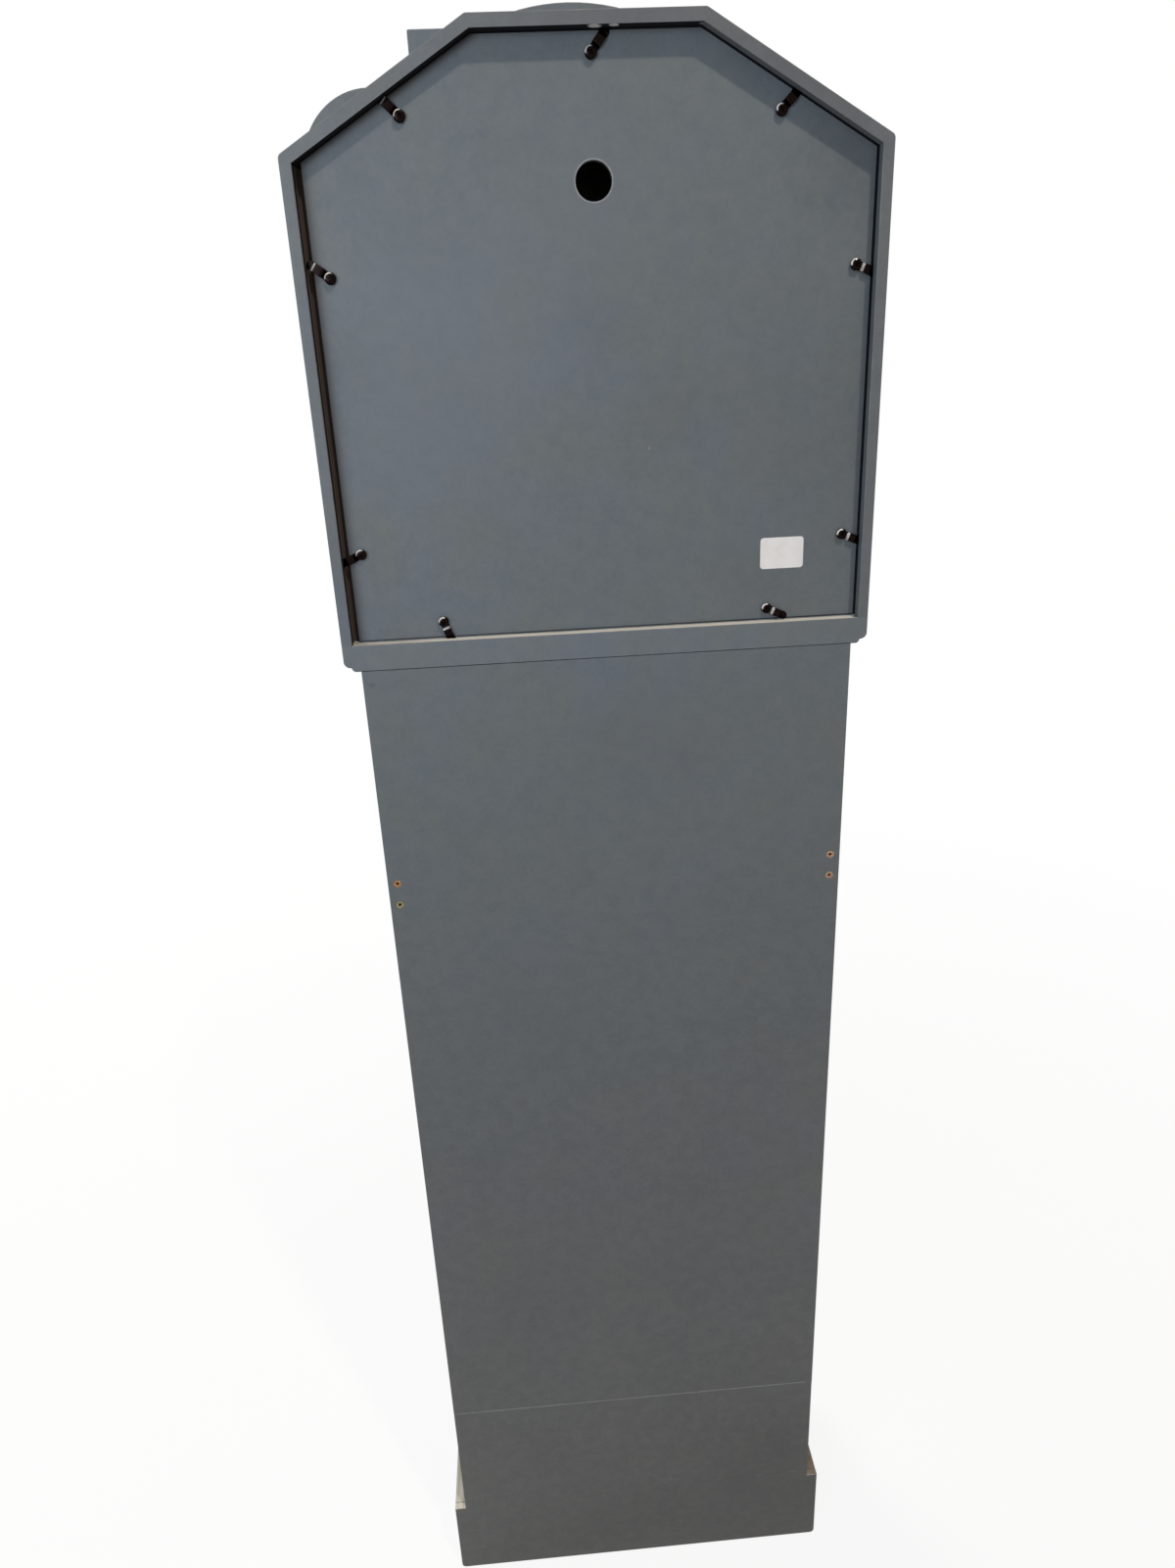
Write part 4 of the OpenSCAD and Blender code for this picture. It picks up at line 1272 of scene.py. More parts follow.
@dataclass(frozen=True)
class HoodBack:
    """The lift-out back of the hood, with its finger hole and its blank paper label."""

    hole_x: float = -2.2
    hole_z: float = 1694.0
    hole_r: float = 15.0
    # Painted shade: within this radius the lip is drawn near black, as the shade of the hole.
    painted_shade_r: float = 15.28
    label_w: float = 41.0
    label_h: float = 29.0
    label_corner: float = 3.0
    label_x: float = -168.0
    label_z: float = 1381.0
    label_faces: tuple[float, float] = (0.02, 0.16)
    ripple: float = 0.05
    ripple_size: float = 7.0
    lifts_from: float = 0.72
    corner_lift: float = 2.4
    face_depth: float = 14.0

    def build(self) -> None:
        """Builds the panel, the lip of its finger hole and the label."""
        eased_board(
            "hood_back_panel",
            PANEL_PAINT,
            ease=FINE_ARRIS,
            zones=[
                # The wall of the finger hole is drawn nearly black as painted shade.
                Zone(HOLE_FIBRE_IN_SHADE, self.in_hole),
                Zone(REBATE_WOOD, lambda c, n: n.y < -0.5),
                # The panel's lower edge is drawn near black as painted shade.
                Zone(SHADED_PAINT, self.at_foot),
            ],
        )
        self.lip()
        self.label()

    def lip(self) -> None:
        """Builds the lip of paint round the finger hole, drawn as painted shade inside and rubbed
        on its crown.
        """
        # Millimetres beyond the hole and above the panel, once round the lip.
        section = [(0.0, -0.45), (0.0, -0.1), (0.25, 0.06), (0.3, 0.1), (0.8, 0.2), (1.25, 0.14)]
        section += [(1.5, -0.02), (1.5, -0.45), (0.0, -0.45)]
        profile = [(self.hole_r + out, height) for out, height in section]
        mesh = bmesh.new()
        lathe(mesh, profile, out_of_back(self.hole_x, self.face_depth, self.hole_z), 96)
        bmesh.ops.remove_doubles(mesh, verts=mesh.verts[:], dist=0.001 * MM)
        piece_from(
            "finger_hole_lip",
            mesh,
            RIM_PAINT,
            smooth_to=30,
            zones=[Zone(SHADED_PAINT, self.in_lip)],
        )

    def in_lip(self, centre: Vector, normal: Vector) -> bool:
        """Whether a face is on the inside of the lip, which is drawn as painted shade."""
        return self.from_hole(centre) < self.painted_shade_r

    def from_hole(self, point: Vector) -> float:
        """Millimetres from the axis of the finger hole."""
        return (point - place(self.hole_x, depth_of(point), self.hole_z)).length / MM

    @staticmethod
    def at_foot(centre: Vector, normal: Vector) -> bool:
        """Whether a face is on the lower edge of the panel, which is drawn as painted shade."""
        return normal.z < -0.3 and centre.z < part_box("hood_back_panel")[0].z + 2 * MM

    def in_hole(self, centre: Vector, normal: Vector) -> bool:
        """Whether a face belongs to the wall of the finger hole or to its eased arris."""
        return self.from_hole(centre) < self.hole_r + 1.0 and abs(normal.y) < 0.98

    def label(self) -> None:
        """Builds the label as a thin sheet with round corners, one of them just lifting."""
        mesh = bmesh.new()
        columns, rows = 28, 20
        grid: dict[tuple[int, int, int], Vert] = {}
        half_w, half_h, r = self.label_w / 2, self.label_h / 2, self.label_corner
        for side, lift in enumerate(self.label_faces):
            for i in range(columns + 1):
                for j in range(rows + 1):
                    x = half_w * (2 * i / columns - 1)
                    z = half_h * (2 * j / rows - 1)
                    over_x, over_z = abs(x) - (half_w - r), abs(z) - (half_h - r)
                    if over_x > 0 and over_z > 0:
                        shrink = max(over_x, over_z) / math.hypot(over_x, over_z)
                        x = math.copysign(half_w - r + over_x * shrink, x)
                        z = math.copysign(half_h - r + over_z * shrink, z)
                    corner = max(0.0, (x - z) / (half_w + half_h) - self.lifts_from)
                    at = Vector((x / self.ripple_size, z / self.ripple_size, 3.0))
                    # Only the outer face, of side one, has the ripple.
                    out = lift + side * self.ripple * noise.noise(at) + self.corner_lift * corner**2
                    point = place(self.label_x + x, self.face_depth - out, self.label_z + z)
                    grid[side, i, j] = mesh.verts.new(point)
        for i in range(columns):
            for j in range(rows):
                for side in (0, 1):
                    corners = ((i, j), (i + 1, j), (i + 1, j + 1), (i, j + 1))
                    mesh.faces.new([grid[side, *corner] for corner in corners])
        rim = (
            [(i, 0) for i in range(columns)]
            + [(columns, j) for j in range(rows)]
            + [(i, rows) for i in range(columns, 0, -1)]
            + [(0, j) for j in range(rows, 0, -1)]
        )
        for (i, j), (k, m) in zip(rim, rim[1:] + rim[:1]):
            mesh.faces.new([grid[0, i, j], grid[0, k, m], grid[1, k, m], grid[1, i, j]])
        piece_from("blank_label_sheet", mesh, PAPER, replaced=("blank_label",))


@dataclass(frozen=True)
class TurnButtons:
    """Nine bent straps, each turning on a pan-head screw.

    Sizes are in millimetres, and heights are above the panel.
    """

    count: int = 9
    eye_r: float = 4.6
    half_w: float = 3.75
    reach: float = 22.0
    metal: float = 1.2
    seat: float = 0.15
    lift: float = 2.4
    rise_at: float = 6.9
    fall_at: float = 15.7
    bend: float = 1.4
    round: float = 0.4
    head_r: float = 5.0
    head_h: float = 3.2
    shank_r: float = 2.0
    grip: float = 5.0
    recess_turns: tuple[float, ...] = (12, 71, 33, 52, 8, 64, 40, 25, 80)
    # The direction, up and to the left of the back view, that the painted highlights face.
    glint_from: tuple[float, float, float] = (0.66, 0.0, 0.75)
    crown: float = 0.72
    recess_arm: float = 2.5
    recess_bar: float = 0.55
    recess_taper: float = 0.45

    def build(self) -> None:
        """Builds the straps, each on its own body, and the screws in one piece."""
        strap = self.strap()
        screw = self.screw()
        screws = bmesh.new()
        for number in range(1, self.count + 1):
            node = f"turn_button_{number}"
            to_place = self.place_of(node)
            # Painted highlights on the bends of the strap and on the crown of the screw.
            self.paint_glints(strap, to_place, 0.7, 0.5, self.on_strap)
            mesh = bmesh.new()
            copy_into(mesh, strap, to_place)
            piece_from(f"{node}_strap", mesh, BLACK_STEEL, node, (node,), smooth_to=50)
            turned = to_place @ Matrix.Rotation(math.radians(self.recess_turns[number - 1]), 4, "Z")
            self.paint_glints(screw, turned, 0.45, 0.42, self.on_crown)
            copy_into(screws, screw, turned)
        replaced = ("turn_button_screws",)
        piece_from("turn_button_pan_screws", screws, BLACK_STEEL, replaced=replaced)
        strap.free()
        screw.free()

    def paint_glints(
        self,
        mesh: Mesh,
        to_place: Matrix,
        facing_from: float,
        lean_from: float,
        rubbed_or_glinting: Callable[[Vector], bool],
    ) -> None:
        """Marks painted highlights where glints fall, drawn as places where the black is rubbed
        through.

        These are the bends and crowns that lean up and to the left of the back view.

        Args:
            mesh: A strap or a screw in its own frame.
            to_place: The place that it is marked for.
            facing_from: The cosine from the side that the highlights face, at which the marks
                begin.
            lean_from: The sine of the slope at which they begin.
            rubbed_or_glinting: Whether a point, in millimetres of that frame, can carry painted
                highlights at all.
        """
        # Nothing level is marked, and nothing steep. The marks fade in over these steps.
        level, steep_from, steep_to = 0.1, 0.88, 0.97
        facing_step, lean_step = 0.3, 0.18
        layers = mesh.verts.layers.float
        wear_and_glint = layers.get(WEAR_AND_GLINT) or layers.new(WEAR_AND_GLINT)
        bmesh.ops.recalc_face_normals(mesh, faces=mesh.faces)
        mesh.normal_update()
        towards = (to_place.to_3x3().inverted() @ Vector(self.glint_from)).normalized()
        for vert in mesh.verts:
            across = Vector((vert.normal.x, vert.normal.y, 0.0))
            lean = across.length
            vert[wear_and_glint] = 0.0
            if vert.normal.z > level and lean > level and rubbed_or_glinting(vert.co / MM):
                cosine = across.normalized().dot(towards)
                facing = ramp(cosine, facing_from, facing_from + facing_step)
                sloping = ramp(lean, lean_from, lean_from + lean_step)
                vert[wear_and_glint] = facing * sloping * (1.0 - ramp(lean, steep_from, steep_to))

    def on_strap(self, point: Vector) -> bool:
        """Whether a point lies between the rounded long edges of the strap."""
        return abs(point.y) < self.half_width_at(point.x) - self.round * 0.9

    def on_crown(self, point: Vector) -> bool:
        """Whether a point lies on the crown of the screw, outside its recess."""
        return math.hypot(point.x, point.y) > self.head_r * 0.62

    def place_of(self, node: str) -> Matrix:
        """The place of a turn button: its screw's foot on the panel.

        X runs along the strap and Z outwards.

        Args:
            node: The strap's node.

        Returns:
            The matrix from the strap's own frame to the scene.
        """
        joint = next(j for j in frame["joints"] if j["child"] == node)
        pivot = Vector(joint["pos_m"])
        pivot.y = BACK_Y - HoodBack.face_depth * MM
        tip = max(
            (v.co for v in frame["nodes"][node].data.vertices),
            key=lambda co: math.hypot(co.x - pivot.x, co.z - pivot.z),
        )
        along = Vector((tip.x - pivot.x, 0.0, tip.z - pivot.z)).normalized()
        out = Vector((0.0, 1.0, 0.0))
        across = out.cross(along)
        turned = Matrix((along, across, out)).transposed().to_4x4()
        return Matrix.Translation(pivot) @ turned

    def height_at(self, u: float) -> float:
        """Follows the middle of the metal up and down the bends.

        Args:
            u: Distance from the screw.

        Returns:
            The height of the middle of the metal.
        """

        def step(at: float) -> float:
            """The share of one bend that lies behind."""
            t = ramp(u, at - self.bend, at + self.bend)
            return t * t * (3 - 2 * t)

        return self.seat + self.metal / 2 + self.lift * (step(self.rise_at) - step(self.fall_at))

    def half_width_at(self, u: float) -> float:
        """Follows the outline of the strap from its round eye to its round tip.

        Args:
            u: Distance from the screw.

        Returns:
            Half the width of the strap.
        """
        eye = math.sqrt(max(0.0, self.eye_r**2 - u * u)) if u < self.eye_r else 0.0
        tip_start = self.reach - self.half_w
        body = 0.0
        if u > 0:
            body = self.half_w
        if u > tip_start:
            body = math.sqrt(max(0.0, self.half_w**2 - (u - tip_start) ** 2))
        return max(eye, body, 0.12)

    def stations(self) -> list[float]:
        """Picks where the strap is drawn, closer together where it turns or bends.

        Returns:
            Distances from the screw.
        """
        turns = [math.pi / 2 * i / 8 for i in range(9)]
        eye = [-self.eye_r * math.cos(turn) for turn in turns]
        waist, crest = (0.9, 1.8, 2.66, 3.6, 4.6), (9.5, 11.4, 13.3)
        quarters = [self.bend * k / 4 for k in range(-4, 5)]
        bends = [at + step for at in (self.rise_at, self.fall_at) for step in quarters]
        tip = [self.reach - self.half_w * (1 - math.sin(turn)) for turn in turns]
        return sorted(set(round(u, 3) for u in (*eye, *waist, *crest, *bends, *tip)))

    def strap(self) -> Mesh:
        """Builds one strap in its own frame, with rounded edges and its screw hole.

        Returns:
            The strap's mesh.
        """
        mesh = bmesh.new()
        rings = []
        for u in self.stations():
            rise = self.height_at(u + 0.05) - self.height_at(u - 0.05)
            tilt = math.atan(rise / 0.1)
            half, middle = self.half_width_at(u), self.height_at(u)
            r = min(self.round, half * 0.8)
            section = []
            for cx, cy, start in (
                (half - r, self.metal / 2 - r, 0),
                (r - half, self.metal / 2 - r, 90),
                (r - half, r - self.metal / 2, 180),
                (half - r, r - self.metal / 2, 270),
            ):
                for k in range(4):
                    a = math.radians(start + 30 * k)
                    section.append((cx + r * math.cos(a), cy + r * math.sin(a)))
            sine, cosine = math.sin(tilt), math.cos(tilt)
            points = [Vector((u - h * sine, v, middle + h * cosine)) * MM for v, h in section]
            rings.append([mesh.verts.new(point) for point in points])
        wrap(mesh, rings)
        close(mesh, rings)
        drill = bmesh.new()
        r = self.shank_r * 1.06
        hole = [(r * math.cos(t), r * math.sin(t)) for t in (math.pi * i / 16 for i in range(32))]
        prism(drill, hole, -1, 4, Matrix.Identity(4))
        return cut_out(mesh, drill)

    def screw(self) -> Mesh:
        """Builds one pan-head screw in its own frame, with its cross recess.

        Returns:
            The screw's mesh.
        """
        seat = self.seat * 2 + self.metal
        crown_r = self.head_h * self.crown
        profile = [(0, -self.grip), (self.shank_r, -self.grip), (self.shank_r, seat)]
        profile += [(self.head_r - 0.25, seat), (self.head_r, seat + 0.25)]
        flat_r = self.head_r - crown_r
        top = seat + self.head_h
        for k in range(9):
            a = math.radians(10 * k)
            up = top - crown_r - 0.25 + crown_r * math.sin(a)
            profile.append((flat_r + crown_r * math.cos(a), up))
        profile += [(flat_r * 0.8, top - 0.12), (flat_r * 0.4, top - 0.03), (0, top)]
        mesh = bmesh.new()
        lathe(mesh, profile, Matrix.Identity(4), 48)
        arm, bar = self.recess_arm, self.recess_bar
        cross = [
            (bar, bar), (bar, arm), (-bar, arm), (-bar, bar), (-arm, bar), (-arm, -bar),
            (-bar, -bar), (-bar, -arm), (bar, -arm), (bar, -bar), (arm, -bar), (arm, bar),
        ]
        driver = bmesh.new()
        prism(driver, cross, top + 0.3, top - 2.0, Matrix.Identity(4), self.recess_taper)
        return cut_out(mesh, driver)


@dataclass(frozen=True)
class HoodFront:
    """The crested front board, with the turned ring and the glass of the dial."""

    def build(self) -> None:
        """Builds the board, the ring and the glass."""
        eased_board("hood_front_board", CARCASE_PAINT, ease=Ease(1.4, from_angle=40))
        eased_board("dial_ring", CARCASE_PAINT, ease=Ease(0.5, from_angle=50))
        eased_board("dial_glass", GLASS, ease=Ease(0.4, from_angle=60))


@dataclass(frozen=True)
class Dial:
    """The enamelled plate with its print, the hands, and the battery movement behind."""

    dial_z: float = 1620.0
    face_depth: float = 230.0
    ink: float = 0.12
    track_in: float = 131.0
    track_out: float = 139.0
    track_line: float = 0.9
    numeral_low: float = 97.0
    numeral_high: float = 125.0
    inner_ring: float = 90.0
    inner_line: float = 0.6
    hour_mark: float = 0.9
    minute_mark: float = 0.32
    numerals: tuple[str, ...] = (
        "XII", "I", "II", "III", "IIII", "V", "VI", "VII", "VIII", "IX", "X", "XI",
    )

    def build(self) -> None:
        """Builds the plate, its print, the hands and the movement."""
        eased_board("dial_plate", ENAMEL, ease=Ease(0.3, from_angle=60))
        self.print()
        eased_board("hour_hand", HAND_PAINT, "hour_hand", Ease(0.14, from_angle=60))
        eased_board("minute_hand", HAND_PAINT, "minute_hand", Ease(0.14, from_angle=60))
        eased_board("movement_case", PLASTIC, ease=Ease(1.0, from_angle=60))
        eased_board("movement_nut", BRASS, ease=Ease(0.3, from_angle=40))
        eased_board("dry_cell", CELL_JACKET, ease=Ease(0.4, from_angle=60))

    def polar(self, mesh: Mesh, corners: Sequence[tuple[float, float]]) -> None:
        """Adds one printed mark, drawn as clockwise angle and radius.

        Args:
            mesh: The print's mesh.
            corners: Degrees clockwise from twelve, and millimetres from the middle of the dial.
        """
        turns = [(math.radians(a), r) for a, r in corners]
        rows = []
        for depth in (self.face_depth, self.face_depth + self.ink):
            marks = [(r * math.sin(a), self.dial_z + r * math.cos(a)) for a, r in turns]
            rows.append([mesh.verts.new(place(x, depth, z)) for x, z in marks])
        close(mesh, rows)
        wrap(mesh, rows)

    def ring(self, mesh: Mesh, radius: float, width: float) -> None:
        """Adds a printed circle.

        Args:
            mesh: The print's mesh.
            radius: Millimetres to its inside.
            width: Its width in millimetres.
        """
        outer = radius + width
        for a in range(0, 360, 2):
            self.polar(mesh, [(a, radius), (a + 2, radius), (a + 2, outer), (a, outer)])

    def numeral(self, mesh: Mesh, letters: str, angle: float) -> None:
        """Adds one hour in Roman letters, whose feet point to the middle.

        Args:
            mesh: The print's mesh.
            letters: The letters I, V and X.
            angle: Degrees clockwise from twelve.
        """
        low, high = self.numeral_low, self.numeral_high
        middle = (low + high) / 2
        widths = {"I": 6.6, "V": 14.6, "X": 14.6}
        thick, thin, serif = 3.1, 1.1, 1.3
        # Half the spread of the strokes of a V and of an X.
        v, x = 4.6, 4.4

        def mark(corners: Sequence[tuple[float, float]]) -> None:
            """Prints a shape drawn along and out of the circle of the hours."""
            self.polar(mesh, [(angle + math.degrees(s / middle), r) for s, r in corners])

        def leaning(foot: float, head: float, width: float) -> None:
            """Prints a stroke from foot to head."""
            half = width / 2
            mark([(foot - half, low), (foot + half, low), (head + half, high), (head - half, high)])

        def serif_at(at: float, r: float, half: float) -> None:
            """Prints the short bar at the end of a stroke."""
            mark([(at - half, r), (at + half, r), (at + half, r + serif), (at - half, r + serif)])

        start = -sum(widths[c] for c in letters) / 2
        for letter in letters:
            centre = start + widths[letter] / 2
            start += widths[letter]
            if letter == "I":
                leaning(centre, centre, thick)
                serif_at(centre, low, thick * 0.95)
                serif_at(centre, high - serif, thick * 0.95)
            if letter == "V":
                leaning(centre - 0.5, centre - v, thick)
                leaning(centre + 0.7, centre + v, thin)
                serif_at(centre - v, high - serif, 2.7)
                serif_at(centre + v, high - serif, 2.2)
            if letter == "X":
                leaning(centre + x, centre - x, thick)
                leaning(centre - x, centre + x, thin)
                for side in (-x, x):
                    serif_at(centre + side, low, 2.5)
                    serif_at(centre + side, high - serif, 2.5)

    def print(self) -> None:
        """Prints the hours, the minute track and the inner circle on the plate."""
        mesh = bmesh.new()
        self.ring(mesh, self.track_in, self.track_line)
        self.ring(mesh, self.track_out, self.track_line)
        self.ring(mesh, self.inner_ring, self.inner_line)
        low, high = self.track_in, self.track_out + self.track_line
        for minute in range(60):
            half = self.minute_mark if minute % 5 else self.hour_mark
            start, end = 6.0 * minute - half, 6.0 * minute + half
            self.polar(mesh, [(start, low), (end, low), (end, high), (start, high)])
        for hour, letters in enumerate(self.numerals):
            self.numeral(mesh, letters, 30.0 * hour)
        piece_from("dial_print", mesh, INK)


# The trunk and its door


@dataclass(frozen=True)
class Trunk:
    """The body of the cabinet: sides, backs, front frame, base panel, floor and shelves."""

    hole_x: float = 224.6
    hole_zs: tuple[float, float] = (1044.0, 1068.0)
    torn_r: float = 3.8
    torn_bore_r: float = 1.05
    joint_z: float = 300.0
    joint_ends: tuple[float, float] = (234.0, -226.0)
    inner_x: float = 216.5

    def build(self) -> None:
        """Builds the boards, the shelves and their pins, and the marks on the back."""
        inner = Zone(INSIDE_BOARD, self.looks_in)
        for side in ("left", "right"):
            eased_board(f"trunk_side_{side}", CARCASE_PAINT, ease=FINE_ARRIS, zones=[inner])
            eased_board(f"front_stile_{side}", CARCASE_PAINT)
        faces_in = Zone(INSIDE_BOARD, lambda c, n: n.y < -0.9)
        for back in ("trunk_back_board", "lower_back_board"):
            eased_board(back, TRUNK_PAINT, ease=FINE_ARRIS, zones=[faces_in])
        for board in ("top_rail", "waist_rail", "low_rail", "base_panel"):
            eased_board(board, CARCASE_PAINT)
        eased_board("waist_bead", CARCASE_PAINT, ease=Ease(0.4, from_angle=40))
        for shelf in ("trunk_floor", "shelf_lower", "shelf_middle", "shelf_upper"):
            eased_board(shelf, SHELF_BOARD)
        eased_board("shelf_pins", ZINC, ease=Ease(0.5, from_angle=60))
        self.torn_holes()
        self.joint_filler()

    def looks_in(self, centre: Vector, normal: Vector) -> bool:
        """Whether a face of a side is its bare inside."""
        return normal.x * centre.x < -0.1 and abs(centre.x) < (self.inner_x + 1) * MM

    def torn_holes(self) -> None:
        """Builds the ragged wood round the four screw holes of a lost wall strap."""
        chance = random.Random(7)
        steps = 22
        # From the rim over the torn ridge down the bore: the share of the way out from the bore,
        # and millimetres above the board, which on the ridge are a share of its own height.
        section = ((1.0, -0.1), (1.0, 0.06), (0.82, 0.5), (0.6, 0.9), (0.25, 0.2))
        section += ((0.0, -1.3), (0.1, -2.2))
        holes = [(side * self.hole_x, z) for side in (1, -1) for z in self.hole_zs]
        finishes = (TORN_GREY_FIBRE, TORN_FIBRE, TORN_PALE_FIBRE, TORN_PALE_FIBRE)
        for number, ((x, z), finish) in enumerate(zip(holes, finishes), start=1):
            mesh = bmesh.new()
            rows: list[list[Vert]] = []
            reach = [self.torn_r + chance.uniform(-0.1, 0.5) for _ in range(steps)]
            ridge = [chance.uniform(0.1, 0.5) for _ in range(steps)]
            bore = [self.torn_bore_r + chance.uniform(-0.25, 0.25) for _ in range(steps)]
            for share, out in section:
                row = []
                for i in range(steps):
                    a = 2 * math.pi * i / steps
                    r = bore[i] + (reach[i] - bore[i]) * share
                    lift = out if out < 0.1 else out * ridge[i]
                    point = place(x + r * math.cos(a), -lift, z + r * math.sin(a))
                    row.append(mesh.verts.new(point))
                rows.append(row)
            wrap(mesh, rows + rows[:1])
            piece_from(f"torn_screw_hole_{number}", mesh, finish, smooth_to=20)

    def joint_filler(self) -> None:
        """Builds the thin line of rubbed filler in the joint between the two back boards."""
        mesh = bmesh.new()
        steps, (left, right) = 150, self.joint_ends
        root, root_share = 0.6, 0.7
        rows = []
        for i in range(steps + 1):
            x = left + (right - left) * i / steps
            # The line wavers in height, in width and in how far it stands out.
            z = self.joint_z + 0.2 * noise.noise(Vector((x / 18, 0.3, 0.0)))
            half = 0.75 + 0.3 * noise.noise(Vector((x / 6, 1.3, 0.0)))
            out = 0.1 + 0.08 * noise.noise(Vector((x / 9, 2.7, 0.0)))
            below = [place(x, root, z - half * root_share), place(x, 0.0, z - half)]
            above = [place(x, 0.0, z + half), place(x, root, z + half * root_share)]
            points = [*below, place(x, -out, z), *above]
            rows.append([mesh.verts.new(point) for point in points])
        wrap(mesh, rows)
        close(mesh, rows)
        piece_from("back_joint_filler", mesh, FILLER)


@dataclass(frozen=True)
class Door:
    """The framed door, with its arched, fielded panel, its knob and the plate of its catch."""

    body: str = "trunk_door"
    knob_x: float = -158.0
    knob_z: float = 790.0
    knob_r: float = 15.0
    face_depth: float = 233.0
    reach: float = 30.0

    def build(self) -> None:
        """Builds the frame, the panel, the knob and the plate."""
        for node in ("door_hinge_stile", "door_knob_stile", "door_top_rail", "door_low_rail"):
            eased_board(node, CARCASE_PAINT, body=self.body, ease=Ease(1.0, from_angle=40))
        fielded = Ease(0.5, from_angle=7, smooth_to=6)
        eased_board("door_panel", CARCASE_PAINT, body=self.body, ease=fielded)
        eased_board("catch_plate", ZINC, self.body, Ease(0.3))
        self.knob()

    def knob(self) -> None:
        """Turns the knob: a stepped rose, a waisted neck and a flattened ball."""
        r = self.knob_r
        profile = [(0.0, 0.0), (12.6, 0.0), (12.75, 0.2), (12.75, 1.6), (12.3, 2.2), (11.2, 2.6)]
        profile += [(10.6, 3.0), (9.0, 3.6), (7.6, 4.6), (6.9, 5.8), (6.75, 7.2), (7.0, 8.6)]
        # The ball begins where its round meets the neck.
        squash, neck_r = 0.65, 7.05
        middle = self.reach - r * squash
        foot = math.degrees(math.acos(neck_r / r))
        for k in range(25):
            a = math.radians(-foot + (90 + foot) * k / 24)
            profile.append((r * math.cos(a) if k < 24 else 0.0, middle + r * squash * math.sin(a)))
        mesh = bmesh.new()
        forward = Matrix.Rotation(math.radians(90), 4, "X")
        to_place = Matrix.Translation(place(self.knob_x, self.face_depth, self.knob_z)) @ forward
        lathe(mesh, profile, to_place, 72)
        replaced = ("door_knob",)
        piece_from(
            "door_knob_turning", mesh, BRASS, self.body, replaced, smooth_to=40
        )


@dataclass(frozen=True)
class Ironwork:
    """The two butt hinges with their screws, and the magnetic catch."""

    hinge_zs: tuple[float, float] = (457.5, 1060.5)
    screw_rises: tuple[float, float, float] = (10.0, 30.0, 50.0)
    screw_depth: float = 225.0
    screw_r: float = 2.6
    proud: float = 0.14
    slot_l: float = 4.4
    slot_w: float = 0.6
    door_leaf_x: float = 188.0
    fixed_leaf_x: float = 188.5

    def build(self) -> None:
        """Builds the leaves, the pins, the screws and the catch."""
        eased_board("hinge_leaves_fixed", BRASS, ease=Ease(0.2, from_angle=50))
        eased_board("hinge_leaves_door", BRASS, Door.body, Ease(0.2, from_angle=50))
        eased_board("hinge_pins", BRASS, ease=Ease(0.3, from_angle=50))
        eased_board("catch_magnet", PLASTIC, ease=Ease(0.8))
        self.screws("hinge_screws_fixed", self.fixed_leaf_x, -1, CABINET)
        self.screws("hinge_screws_door", self.door_leaf_x, 1, Door.body)

    def screws(self, name: str, leaf_x: float, towards: int, body: str) -> None:
        """Builds the countersunk screw heads of one leaf of each hinge.

        Args:
            name: The piece's name.
            leaf_x: Where the face of the leaf is.
            towards: The side of the leaf on which the heads show, along X.
            body: The body that they move with.
        """
        mesh = bmesh.new()
        turned = Matrix.Rotation(math.radians(90 * towards), 4, "Y")
        profile = [(0, -0.6), (1.2, -0.6), (self.screw_r, 0)]
        profile += [(self.screw_r - 0.1, self.proud * 0.6), (0, self.proud)]
        half_l, half_w = self.slot_l / 2, self.slot_w / 2
        slot = [(-half_l, -half_w), (half_l, -half_w), (half_l, half_w), (-half_l, half_w)]
        for number, z in enumerate(z0 + rise for z0 in self.hinge_zs for rise in self.screw_rises):
            head, cutter = bmesh.new(), bmesh.new()
            turn = Matrix.Rotation(math.radians(37 * number), 4, "Z")
            lathe(head, profile, Matrix.Identity(4), 32)
            prism(cutter, slot, -0.35, 1.0, turn)
            cut = cut_out(head, cutter)
            copy_into(mesh, cut, Matrix.Translation(place(leaf_x, self.screw_depth, z)) @ turned)
            cut.free()
        piece_from(name, mesh, BRASS, body)


